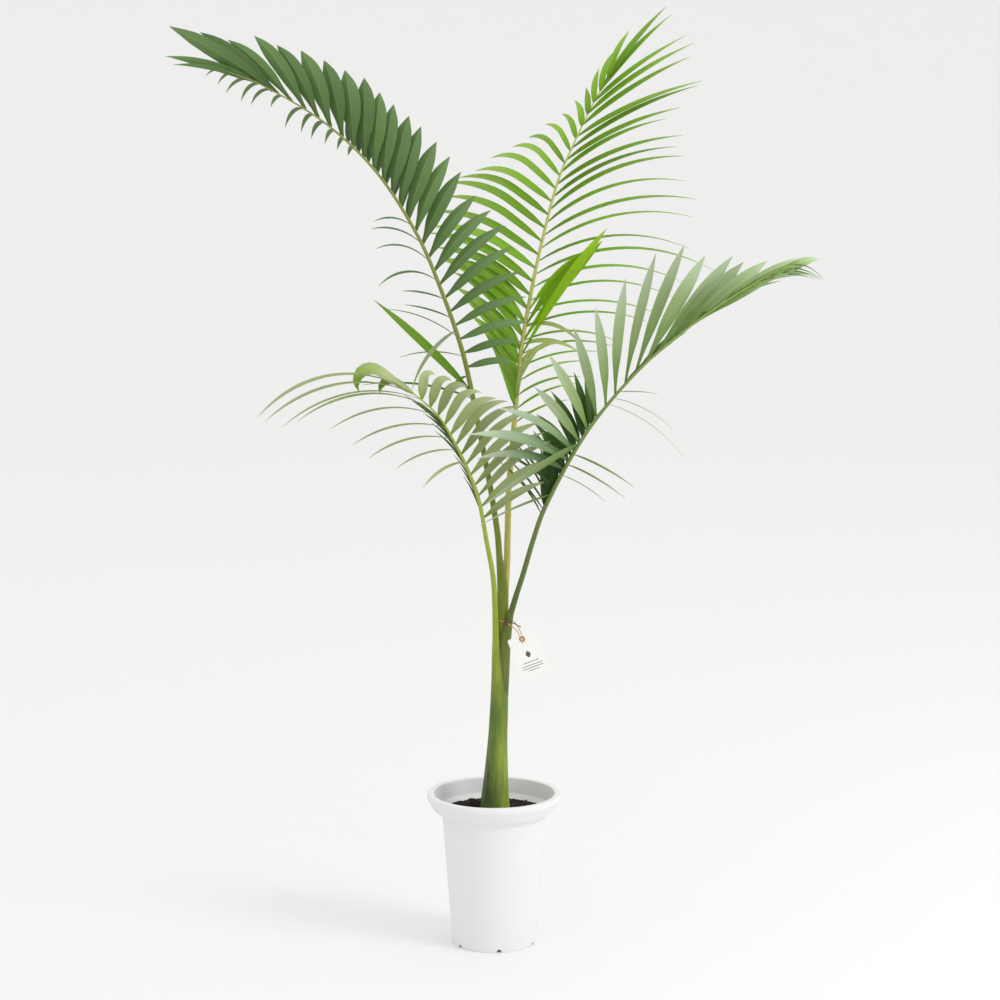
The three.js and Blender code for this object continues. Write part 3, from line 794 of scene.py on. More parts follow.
def polypropylene(settings):
    """Injection-moulded polypropylene: an even white with a soft gloss and a faint flow ripple."""
    made, tree, shader, _ = material_tree("polypropylene")
    place = node(tree, "ShaderNodeTexCoord").outputs["Object"]
    # The mould's ripples are about 17 mm long, and scuffs change the gloss over about 55 mm.
    ripple = node(tree, "ShaderNodeTexNoise", {"Vector": place, "Scale": 60.0, "Detail": 3.0})
    scuff = node(tree, "ShaderNodeTexNoise", {"Vector": place, "Scale": 18.0, "Detail": 6.0})
    gloss = node(tree, "ShaderNodeMapRange", {
        "Value": scuff, "From Min": 0.3, "From Max": 0.7, "To Min": 0.26, "To Max": 0.42,
    })
    bump = node(tree, "ShaderNodeBump", {
        "Height": ripple, "Strength": 0.05, "Distance": 0.4 * MM,
    })
    feed(tree, shader, {
        "Base Color": linear(settings.plastic), "IOR": 1.49, "Roughness": gloss, "Normal": bump,
    })
    return made


def potting_soil(settings):
    """Damp peat and bark: nearly black, crumbly and without gloss."""
    made, tree, shader, _ = material_tree("potting_soil")
    place = node(tree, "ShaderNodeTexCoord").outputs["Object"]
    # Crumbs about 4 mm across
    crumbs = node(tree, "ShaderNodeTexNoise", {"Vector": place, "Scale": 260.0, "Detail": 5.0})
    dark = linear(settings.soil)
    shade = node(tree, "ShaderNodeValToRGB", {0: crumbs}, [
        (0.3, mixed(dark, BLACK, 0.5)), (0.55, dark), (0.75, linear(settings.bark)),
    ])
    bump = node(tree, "ShaderNodeBump", {"Height": crumbs, "Strength": 0.9, "Distance": 2 * MM})
    feed(tree, shader, {"Base Color": shade, "Roughness": 0.95, "Normal": bump})
    return made


def bark_chip(settings):
    """Shredded bark: brown to almost black, matt, with a coarse grain."""
    made, tree, shader, _ = material_tree("bark_chip")
    place = node(tree, "ShaderNodeTexCoord").outputs["Object"]
    # Its tone changes over about 8 mm.
    grain = node(tree, "ShaderNodeTexNoise", {"Vector": place, "Scale": 120.0, "Detail": 4.0})
    bark = linear(settings.bark)
    shade = node(tree, "ShaderNodeValToRGB", {0: grain}, [
        (0.35, mixed(bark, BLACK, 0.85)), (0.6, mixed(bark, BLACK, 0.5)), (0.8, bark),
    ])
    feed(tree, shader, {"Base Color": shade, "Roughness": 0.9})
    return made


def leaf_blade(name, base, middle, tip, under, clear, gloss):
    """A living palm leaflet: a waxy skin over parallel veins, which lets some light through.

    base, middle and tip are its colours along its length, under the share of grey that its
    underside gains, clear how much light comes through it, and gloss its roughness.
    """
    made, tree, shader, output = material_tree(name)
    place = node(tree, "ShaderNodeAttribute", attribute_name="leaf_place").outputs["Vector"]
    split = node(tree, "ShaderNodeSeparateXYZ", {0: place})
    across, share, side = split.outputs
    shade = node(tree, "ShaderNodeAttribute", attribute_name="leaf_shade").outputs["Fac"]
    where = node(tree, "ShaderNodeTexCoord").outputs["Object"]
    # Its colour drifts over about 70 mm.
    cloud = node(tree, "ShaderNodeTexNoise", {"Vector": where, "Scale": 14.0, "Detail": 3.0})
    drift = node(tree, "ShaderNodeMath", {
        0: node(tree, "ShaderNodeMath", {0: cloud.outputs[0], 1: 0.5}, operation="SUBTRACT"),
        1: 0.5, 2: share,
    }, operation="MULTIPLY_ADD")
    skin = node(tree, "ShaderNodeValToRGB", {0: drift}, [
        (0.0, base), (0.35, middle), (0.95, tip),
    ])

    # Eight veins cross a blade, about 2 mm apart, coarser than the real ones so that they show.
    lines = node(tree, "ShaderNodeMath", {
        0: node(tree, "ShaderNodeMath", {0: across, 1: 26.0}, operation="MULTIPLY"),
    }, operation="SINE")
    rib = node(tree, "ShaderNodeMapRange", {
        "Value": node(tree, "ShaderNodeMath", {0: across}, operation="ABSOLUTE"),
        "From Min": 0.0, "From Max": 0.07, "To Min": 1.0, "To Max": 0.0,
    })
    veined = node(tree, "ShaderNodeMath", {0: lines, 1: 0.05, 2: 1.0}, operation="MULTIPLY_ADD")
    # Each leaflet's tone changes at random, and where its group gives a painted sheen, the leaflet
    # is painted paler.
    tone = node(tree, "ShaderNodeMath", {0: shade, 1: 0.16, 2: veined}, operation="MULTIPLY_ADD")
    toned = node(tree, "ShaderNodeMix", {6: skin, 7: tone, "Factor": 1.0},
                 data_type="RGBA", blend_type="MULTIPLY")
    ribbed = node(tree, "ShaderNodeMix", {
        "Factor": node(tree, "ShaderNodeMath", {0: rib, 1: 0.35}, operation="MULTIPLY"),
        6: toned.outputs[2], 7: mixed(tip, RIB_CREAM, 0.25),
    }, data_type="RGBA")
    grey = node(tree, "ShaderNodeMix", {
        "Factor": node(tree, "ShaderNodeMapRange", {
            "Value": side, "From Min": -1.0, "From Max": 1.0, "To Min": under, "To Max": 0.0,
        }),
        6: ribbed.outputs[2], 7: mixed(middle, WAX_GREY, 0.6),
    }, data_type="RGBA").outputs[2]
    wax = node(tree, "ShaderNodeMapRange", {
        "Value": cloud, "From Min": 0.3, "From Max": 0.7,
        "To Min": gloss - 0.06, "To Max": gloss + 0.08,
    })
    bump = node(tree, "ShaderNodeBump", {
        "Height": node(tree, "ShaderNodeMath", {0: lines, 1: 0.5, 2: rib},
                       operation="MULTIPLY_ADD"),
        "Strength": 0.25, "Distance": 0.3 * MM,
    })
    feed(tree, shader, {
        "Base Color": grey, "Roughness": wax, "Specular IOR Level": 0.28, "Normal": bump,
    })
    glow = node(tree, "ShaderNodeMix", {"Factor": 0.35, 6: grey, 7: SAP_GLOW}, data_type="RGBA")
    through = node(tree, "ShaderNodeBsdfTranslucent", {"Color": glow.outputs[2]})
    both = node(tree, "ShaderNodeMixShader", {0: clear, 1: shader, 2: through})
    feed(tree, output, {"Surface": both})
    return made


def leaf_stalk(name, low, high):
    """A leaf stalk: smooth living skin with fine lengthwise fibres, from low to high in colour."""
    made, tree, shader, _ = material_tree(name)
    share = node(tree, "ShaderNodeAttribute", attribute_name="stalk_share").outputs["Fac"]
    where = node(tree, "ShaderNodeTexCoord").outputs["Object"]
    # Fibres 1.4 mm apart and drawn out 25 times as long, coarser than the real ones
    drawn_out = node(tree, "ShaderNodeMapping", {"Vector": where, "Scale": (1, 1, 0.04)})
    fibres = node(tree, "ShaderNodeTexNoise", {"Vector": drawn_out, "Scale": 700.0, "Detail": 3.0})
    skin = node(tree, "ShaderNodeValToRGB", {0: share}, [
        (0.0, low), (0.45, mixed(low, high, 0.5)), (1.0, high),
    ])
    tone = node(tree, "ShaderNodeMapRange", {
        "Value": fibres, "From Min": 0.3, "From Max": 0.7, "To Min": 0.82, "To Max": 1.15,
    })
    toned = node(tree, "ShaderNodeMix", {"Factor": 1.0, 6: skin, 7: tone},
                 data_type="RGBA", blend_type="MULTIPLY")
    bump = node(tree, "ShaderNodeBump", {
        "Height": fibres, "Strength": 0.25, "Distance": 0.3 * MM,
    })
    feed(tree, shader, {
        "Base Color": toned.outputs[2], "Roughness": 0.42, "Specular IOR Level": 0.3,
        "Normal": bump,
    })
    return made


def stem_skin(name, dark, shade, warm, upper, fade):
    """The clasping leaf bases that make the stem: satin green, with fine lengthwise fibres.

    Between the two heights of fade it runs into upper, the colour of its stalk. The colours dark
    and warm are painted shade and painted light: random patches and a sweep from the left side to
    the right side pick between them and the even shade.
    """
    made, tree, shader, _ = material_tree(name)
    where = node(tree, "ShaderNodeTexCoord").outputs["Object"]
    # Fibres 2.4 mm apart and drawn out 33 times as long, and patches of tone 22 mm across
    drawn_out = node(tree, "ShaderNodeMapping", {"Vector": where, "Scale": (1, 1, 0.03)})
    fibres = node(tree, "ShaderNodeTexNoise", {"Vector": drawn_out, "Scale": 420.0, "Detail": 4.0})
    patches = node(tree, "ShaderNodeTexNoise", {
        "Vector": node(tree, "ShaderNodeMapping", {"Vector": where, "Scale": (1, 1, 0.25)}),
        "Scale": 45.0, "Detail": 4.0,
    })
    split = node(tree, "ShaderNodeSeparateXYZ", {0: where})
    # Painted light and shade: the skin is painted darker towards the left and lighter towards the
    # right, as if lit from the right.
    painted_side_light = node(tree, "ShaderNodeMapRange", {
        "Value": split.outputs["X"], "From Min": -20 * MM, "From Max": 30 * MM,
        "To Min": -0.22, "To Max": 0.26,
    })
    turned = node(tree, "ShaderNodeMath", {0: patches, 1: painted_side_light}, operation="ADD")
    low_skin = node(tree, "ShaderNodeValToRGB", {0: turned}, [
        (0.3, dark), (0.5, shade), (0.72, warm),
    ])
    rise = node(tree, "ShaderNodeMapRange", {
        "Value": split.outputs["Z"], "From Min": fade[0] * MM, "From Max": fade[1] * MM,
    })
    skin = node(tree, "ShaderNodeMix", {"Factor": rise, 6: low_skin, 7: upper},
                data_type="RGBA").outputs[2]
    tone = node(tree, "ShaderNodeMapRange", {
        "Value": fibres, "From Min": 0.3, "From Max": 0.7, "To Min": 0.78, "To Max": 1.15,
    })
    toned = node(tree, "ShaderNodeMix", {"Factor": 1.0, 6: skin, 7: tone},
                 data_type="RGBA", blend_type="MULTIPLY")
    bump = node(tree, "ShaderNodeBump", {
        "Height": fibres, "Strength": 0.35, "Distance": 0.5 * MM,
    })
    feed(tree, shader, {
        "Base Color": toned.outputs[2], "Roughness": 0.45, "Specular IOR Level": 0.3,
        "Normal": bump,
    })
    return made


def plain_material(name, shade, roughness, metallic=0.0, grain=400.0, depth=0.05):
    """A solid colour with a fine surface grain, for the small pieces of the tag and the stage.

    grain is how many grains there are in a metre, and depth how deep they are in millimetres.
    """
    made, tree, shader, _ = material_tree(name)
    where = node(tree, "ShaderNodeTexCoord").outputs["Object"]
    grit = node(tree, "ShaderNodeTexNoise", {"Vector": where, "Scale": grain, "Detail": 3.0})
    tone = node(tree, "ShaderNodeValToRGB", {0: grit}, [
        (0.3, mixed(shade, BLACK, 0.06)), (0.7, shade),
    ])
    bump = node(tree, "ShaderNodeBump", {"Height": grit, "Strength": 0.2, "Distance": depth * MM})
    feed(tree, shader, {
        "Base Color": tone, "Roughness": roughness, "Metallic": metallic, "Normal": bump,
    })
    return made


# ------------------------------------------------------------------ pot and soil

def rounded(corners, segments=5):
    """An outline whose corners, given as (x, y, radius), are arcs."""
    points = []
    count = len(corners)
    for i, (x, y, radius) in enumerate(corners):
        here = Vector((x, y))
        before = Vector(corners[i - 1][:2]) - here
        after = Vector(corners[(i + 1) % count][:2]) - here
        if radius == 0 or i in (0, count - 1):
            points.append(here)
            continue
        half = before.angle(after) / 2
        cut = min(radius / math.tan(half), before.length / 2, after.length / 2)
        first = here + before.normalized() * cut
        last = here + after.normalized() * cut
        for step in range(segments + 1):
            share = step / segments
            curve = first.lerp(here, share).lerp(here.lerp(last, share), share)
            points.append(curve)
    return points


def turned_mesh(name, outline, steps=128):
    """A closed solid of revolution. The outline starts and ends on the axis."""
    inner = outline[1:-1]
    vertices = [Vector((0, 0, outline[0].y)), Vector((0, 0, outline[-1].y))]
    for step in range(steps):
        angle = math.tau * step / steps
        vertices += [Vector((p.x * math.cos(angle), p.x * math.sin(angle), p.y)) for p in inner]
    size = len(inner)
    faces = []
    for step in range(steps):
        here, there = 2 + step * size, 2 + (step + 1) % steps * size
        faces.append((0, there, here))
        faces.append((1, here + size - 1, there + size - 1))
        faces += [(here + i, there + i, there + i + 1, here + i + 1) for i in range(size - 1)]
    return mesh_from(name, vertices, faces)


def pot_corners(settings):
    """The pot's section as (radius, height, corner radius), from its axis out, over and back in."""
    top, wall, foot = POT_HEIGHT, settings.wall, settings.foot
    collar_level = top - settings.collar
    body_top = collar_level - SHOULDER
    floor = FLOOR_LIFT + wall
    outer = [
        (0, FLOOR_LIFT, 0), (foot - 7 * MM, FLOOR_LIFT, MM), (foot - 6 * MM, 0, 0.5 * MM),
        (foot, 0, 1.2 * MM), (settings.body_top, body_top, 5 * MM),
        (COLLAR_FOOT, collar_level, 4 * MM), (RIM_RADIUS, top - 8 * MM, 6 * MM),
        (RIM_RADIUS, top, 3 * MM),
    ]
    inner = [
        (settings.mouth, top, 2.5 * MM), (COLLAR_FOOT - 4 * MM, collar_level, 4 * MM),
        (settings.body_top - wall, body_top, 4 * MM), (foot - wall, floor, 2 * MM), (0, floor, 0),
    ]
    return outer, inner


class PALM_OT_pot(bpy.types.Operator):
    """Makes the moulded nursery pot, with drainage arches in its foot and holes in its floor"""
    bl_idname = "palm.pot"
    bl_label = "Pot"

    ARCHES = 6
    FIRST_ARCH = math.radians(-83)
    ARCH_INSET = 2 * MM             # from the foot's outer radius in to an arch's middle
    ARCH_DEPTH = 16 * MM            # radially, enough to pass through the foot
    ARCH_STRETCH = 1.3              # an arch's height over its half width
    DRAINS = 5                      # one in the middle and the rest in a ring
    DRAIN_RADIUS = 8 * MM
    DRAIN_RING = 38 * MM
    DRAIN_DEPTH = 20 * MM
    DRAIN_LEVEL = 5 * MM

    def execute(self, context):
        settings = context.scene.palm_pot
        outer, inner = pot_corners(settings)
        pot = new_object("pot_shell", turned_mesh("pot_shell", rounded(outer + inner)))
        arch = (
            Matrix.Translation((settings.foot - self.ARCH_INSET, 0, 0))
            @ Matrix.Diagonal((1, 1, self.ARCH_STRETCH, 1)) @ Matrix.Rotation(math.pi / 2, 4, "Y")
        )
        cutters = []
        for i in range(self.ARCHES):
            turn = Matrix.Rotation(self.FIRST_ARCH + math.tau * i / self.ARCHES, 4, "Z")
            cutters.append(self.cutter(settings.notch, self.ARCH_DEPTH, turn @ arch))
        for i in range(self.DRAINS):
            middle = Matrix.Translation((self.DRAIN_RING if i else 0, 0, self.DRAIN_LEVEL))
            turn = Matrix.Rotation(math.tau * i / (self.DRAINS - 1), 4, "Z")
            cutters.append(self.cutter(self.DRAIN_RADIUS, self.DRAIN_DEPTH, turn @ middle))
        for cutter in cutters:
            cut = pot.modifiers.new("Cut", "BOOLEAN")
            cut.object = cutter
            cut.solver = "MANIFOLD"
        graph = context.evaluated_depsgraph_get()
        mesh = bpy.data.meshes.new_from_object(pot.evaluated_get(graph))
        for spare in (pot, *cutters):
            bpy.data.objects.remove(spare)
        mesh.shade_smooth()
        mesh.set_sharp_from_angle(angle=math.radians(38))
        mesh.name = "pot_shell"
        made = new_object("pot_shell", mesh, [polypropylene(settings)])
        ride(made, "white_plastic", "pot")
        return {"FINISHED"}

    @staticmethod
    def cutter(radius, depth, place):
        work = bmesh.new()
        bmesh.ops.create_cone(work, cap_ends=True, segments=32, radius1=radius, radius2=radius,
                              depth=depth, matrix=place)
        mesh = bpy.data.meshes.new("cutter")
        work.to_mesh(mesh)
        work.free()
        return new_object("cutter", mesh)


class PALM_OT_soil(bpy.types.Operator):
    """Fills the pot with crumbly soil and scatters lumps and bark chips over it"""
    bl_idname = "palm.soil"
    bl_label = "Soil"

    RINGS = 34
    STEPS = 120
    HILL = (5 * MM, 70 * MM)        # the soil rises this much towards the stem, over this radius
    LUMP = 2.6 * MM                 # the height of its lumps, which fade out near the wall
    LUMPS_END = 86 * MM
    # A clod beside the stem: its place, its spread and its height
    CLOD = (Vector((-38, -22, 0)) * MM, 13 * MM, 9 * MM)
    # Crumbs and chips: how many there are on a square metre, their size and their seed
    CRUMBS = {"Density": 90000.0, "Size": 1.6 * MM, "Seed": 4}
    CHIPS = {"Density": 9000.0, "Size": 3.6 * MM, "Seed": 11}
    NUGGET_SIZE = (9, 7, 9)
    NUGGET_PLACE = Vector((-36, 12, 221)) * MM

    def execute(self, context):
        settings = context.scene.palm_pot
        low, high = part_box("soil")
        edge = high.x - 0.5 * MM
        level = POT_HEIGHT - settings.soil_drop
        wall_foot = (settings.foot - settings.wall - MM, low.z)
        wall_top = (settings.body_top - settings.wall - MM, POT_HEIGHT - settings.collar - SHOULDER)
        rings = []
        for radius, height in (wall_foot, wall_top):
            rings.append([self.around(radius, step, height) for step in range(self.STEPS)])
        for ring in range(self.RINGS):
            radius = edge * (1 - ring / self.RINGS)
            rings.append([self.crumb(radius, step, level) for step in range(self.STEPS)])
        mesh = rings_mesh("soil_bed", rings)
        bed = new_object("soil_bed", mesh, [potting_soil(settings)])
        top = self.top_only(mesh, level - 4 * MM)
        tree = chips_tree()
        crumbs = grown("soil_crumbs", top.copy(), tree, {
            **self.CRUMBS, "Material": potting_soil(settings),
        })
        chips = grown("bark_chips", top, tree, {**self.CHIPS, "Material": bark_chip(settings)})
        ride(self.nugget(bark_chip(settings)), "potting_soil")
        ride(bed, "potting_soil", "soil")
        ride(crumbs, "potting_soil")
        ride(chips, "potting_soil")
        return {"FINISHED"}

    def nugget(self, material):
        """One bark nugget that stands up out of the soil beside the stem."""
        work = bmesh.new()
        bmesh.ops.create_icosphere(work, subdivisions=3, radius=1)
        for vertex in work.verts:
            rough = 1 + 0.28 * noise.noise(vertex.co * 1.7) + 0.08 * noise.noise(vertex.co * 6)
            size = Vector([length * part for length, part in zip(self.NUGGET_SIZE, vertex.co)])
            vertex.co = size * rough * MM + self.NUGGET_PLACE
        mesh = bpy.data.meshes.new("bark_nugget")
        work.to_mesh(mesh)
        work.free()
        return new_object("bark_nugget", mesh, [material])

    def around(self, radius, step, height):
        angle = math.tau * step / self.STEPS
        return Vector((radius * math.cos(angle), radius * math.sin(angle), height))

    def crumb(self, radius, step, level):
        """A point of the soil's surface, raised by the hill, the lumps and the clod."""
        point = self.around(radius, step, level)
        rise, spread = self.HILL
        hill = rise * (1 - min(1, radius / spread) ** 2)
        lumps = noise.fractal(point * 60, 0.6, 2.1, 4) * self.LUMP
        fade = min(1.0, (1 - radius / self.LUMPS_END) * 8)
        middle, spread, height = self.CLOD
        away = (Vector((point.x, point.y, 0)) - middle).length / spread
        return point + UP * (hill + lumps * fade + height * math.exp(-away ** 2 * 2))

    @staticmethod
    def top_only(mesh, above):
        """The faces of a mesh that look up and lie above a height."""
        work = bmesh.new()
        work.from_mesh(mesh)
        spare = [f for f in work.faces if f.normal.z < 0.3 or f.calc_center_median().z < above]
        bmesh.ops.delete(work, geom=spare, context="FACES")
        top = bpy.data.meshes.new("soil_top")
        work.to_mesh(top)
        work.free()
        return top


# ------------------------------------------------------------------ stem

class PALM_OT_stem(bpy.types.Operator):
    """Makes the stem from its nested leaf bases, each leaning out into its own stalk"""
    bl_idname = "palm.stem"
    bl_label = "Stem"

    SIDES = 56
    ROWS = 130
    # Each leaf base's middle and radius from its foot up to its stalk, in millimetres, outermost
    # first. Where one leans out, the next one shows through its open side.
    BASES = {
        "low_left": (
            (1, 0, 150, 22), (1, 0, 205, 24.5), (2, 0, 240, 21.6), (4, 0, 285, 18),
            (6, 0, 330, 15.4), (8, 0, 375, 14.4), (8.6, -1, 405, 13.4), (6.5, -5, 435, 10.2),
            (3.6, -10, 470, 6.6), (3, -13, 500, 5), (2.2, -18, 528, 4.4),
        ),
        "right": (
            (8, 0, 365, 12.6), (9.5, 0, 400, 13.2), (12, -1, 435, 12.4), (14.5, -3, 470, 11.2),
            (18, -6, 495, 9.4), (23, -10, 520, 6.4), (27, -14, 536, 5), (35.5, -20.5, 565, 4.3),
        ),
        "high_left": (
            (10, 0, 400, 10), (12, 0, 450, 10.4), (13.5, 0, 500, 9.4), (14, -1, 545, 8.9),
            (13.6, -2, 575, 8.3), (11, -5, 600, 6.7), (8.6, -8.4, 622, 5.1), (6.6, -11.5, 648, 4.6),
        ),
        "high_right": (
            (16, 2, 520, 6), (17, 3, 560, 6.2), (18.6, 5, 590, 5.9), (20.4, 8.6, 615, 5.3),
            (21.4, 13.5, 645, 4.8),
        ),
    }

    # Each leaf base's skin: its name, its painted-shade, even and painted-light colours, which
    # random patches and a sweep from left to right pick between, and the heights in millimetres
    # between which it runs into its stalk's colour. None stands for the stem's setting.
    SKINS = {
        "low_left": ("stem_skin", "#3d5220", None, "#8a9c38", (420, 490)),
        "right": ("sheath_dark", "#3b4519", "#525f25", "#6a7630", (480, 545)),
        "high_left": ("sheath_olive", "#4c5f18", "#65791f", "#86912e", (560, 620)),
        "high_right": ("sheath_straw", "#8c8a3c", "#a8a04c", "#b8b060", (560, 620)),
    }

    def execute(self, context):
        even = context.scene.palm_plant.stem
        for key, knots in self.BASES.items():
            name, *shades, fade = self.SKINS[key]
            shades = [linear(shade or even) for shade in (*shades, PALM_OT_stalks.COLOURS[key][0])]
            base = f"leaf_base_{key}"
            mesh = rings_mesh(base, self.rings([Vector(knot) for knot in knots]))
            made = new_object(base, mesh, [stem_skin(name, *shades, fade)])
            ride(made, "stem_skin", *(["stem"] if key == "low_left" else []))
        return {"FINISHED"}

    def rings(self, knots):
        """Rings of points round a smooth line through knots of x, y, z and radius."""
        knots = [knots[0] * 2 - knots[1], *knots, knots[-1] * 2 - knots[-2]]
        spans = len(knots) - 3
        made = []
        for row in range(self.ROWS + 1):
            place = row / self.ROWS * spans
            span = min(int(place), spans - 1)
            knot = Route.between(knots[span:span + 4], place - span) * MM
            made.append([self.skin(knot, math.tau * i / self.SIDES) for i in range(self.SIDES)])
        return made

    @staticmethod
    def skin(knot, angle):
        """A point on a leaf base's skin, with slight dents and nine shallow ribs round it."""
        out = Vector((math.cos(angle), math.sin(angle), 0))
        dent = noise.noise(Vector((out.x * 4, out.y * 4, knot.z * 4))) * 0.35 * MM
        rib = math.sin(angle * 9 + knot.z * 12) * 0.12 * MM
        return knot.xyz + out * (knot.w + (dent + rib))


# ------------------------------------------------------------------ stalks and leaflets

def stalk_radius(frond, share):
    """A stalk's radius at a share of its length, in metres."""
    base = frond["radius"] * MM
    return base + (STALK_TIP - base) * share ** 1.2


class PALM_OT_stalks(bpy.types.Operator):
    """Makes the four leaf stalks, tapering from the stem to their tips"""
    bl_idname = "palm.stalks"
    bl_label = "Leaf stalks"

    STEPS = 110
    SIDES = 14
    # Each stalk's colour at the stem and at its tip
    COLOURS = {
        "high_left": ("#6f7c2c", "#8a8f4a"),
        "high_right": ("#b0a755", "#b4c46a"),
        "right": ("#53642f", "#93a85a"),
        "low_left": ("#8fa02c", "#a3b04c"),
    }
    SLOTS = {"high_left": "green_stalk", "high_right": "yellow_stalk",
             "right": "green_stalk", "low_left": "pale_stalk"}

    def execute(self, context):
        tree = stalk_tree()
        for key, frond in FRONDS.items():
            route = Route(frond["route"])
            shares = [i / self.STEPS for i in range(self.STEPS + 1)]
            shares = [share for share in shares if route.at(share).z >= frond["clasp"] * MM]
            points = [route.at(share) for share in shares]
            radii = [stalk_radius(frond, share) for share in shares]
            mesh = line_mesh(points)
            write_attribute(mesh, "radius", "FLOAT", radii)
            low, high = (linear(shade) for shade in self.COLOURS[key])
            made = grown(f"{key}_stalk_skin", mesh, tree, {
                "Sides": self.SIDES, "Material": leaf_stalk(f"{key}_stalk_skin", low, high),
            })
            ride(made, self.SLOTS[key], f"{key}_stalk")
        return {"FINISHED"}


# How far each leaflet strays from its group: shares of its bend, length and width, and angles in
# radians that it swings about the upright, tilts and rolls through
BEND_SPREAD, LENGTH_SPREAD, WIDTH_SPREAD = 0.12, 0.04, 0.06
SWING_SPREAD, TILT_SPREAD, ROLL_SPREAD = 0.035, 0.03, 0.1
ACROSS_VIEW = Vector((0, 1, 0))     # leaflets tilt about this


def leaflet_points(frond, row, seed):
    """The base point of every leaflet of a group, with what its blade grows from."""
    route = Route(frond["route"])
    given = {}
    loose = row.get("jitter", 1.0)
    for i in range(row["count"]):
        share = i / max(1, row["count"] - 1)

        def now(field, usual=None):
            return along(row.get(field, (usual,)), share)

        reach = Vector(now("reach")) * MM
        face = Vector(now("face")).normalized()
        bend = now("bend") * (1 + BEND_SPREAD * vary(seed, i))
        straight = now("straight", 0.0)
        line = reach.normalized()
        line.rotate(Quaternion(UP, SWING_SPREAD * loose * vary(seed + 1, i)))
        line.rotate(Quaternion(ACROSS_VIEW, TILT_SPREAD * loose * vary(seed + 6, i)))
        size = reach.length * (1 + LENGTH_SPREAD * loose * vary(seed + 2, i))
        down = (-UP - line * line.dot(-UP)).normalized()
        axle = line.cross(down).normalized()
        ahead = straight + (1 - straight) * math.sin(bend) / bend
        aside = (1 - straight) * (1 - math.cos(bend)) / bend
        start = Quaternion(axle, -math.atan2(aside, ahead)) @ line
        place = row["start"] + (row["end"] - row["start"]) * share
        leaflet = {
            "root": route.at(place) + line * stalk_radius(frond, place) * 0.5,
            "start": start, "axle": axle, "across": face.cross(start).normalized(),
            "length": size / math.hypot(ahead, aside), "bend": bend, "straight": straight,
            "belly": now("belly", 1.0),
            "width": now("width") * MM * (1 + WIDTH_SPREAD * vary(seed + 3, i)),
            "fold": now("fold", 0.25), "roll": now("roll", 0.0) + ROLL_SPREAD * vary(seed + 4, i),
            # A random tone for each leaflet, plus the painted sheen that some groups give it.
            "leaf_shade": vary(seed + 5, i) + now("painted_sheen", 0.0),
        }
        for field, value in leaflet.items():
            given.setdefault(field, []).append(value)
    return given


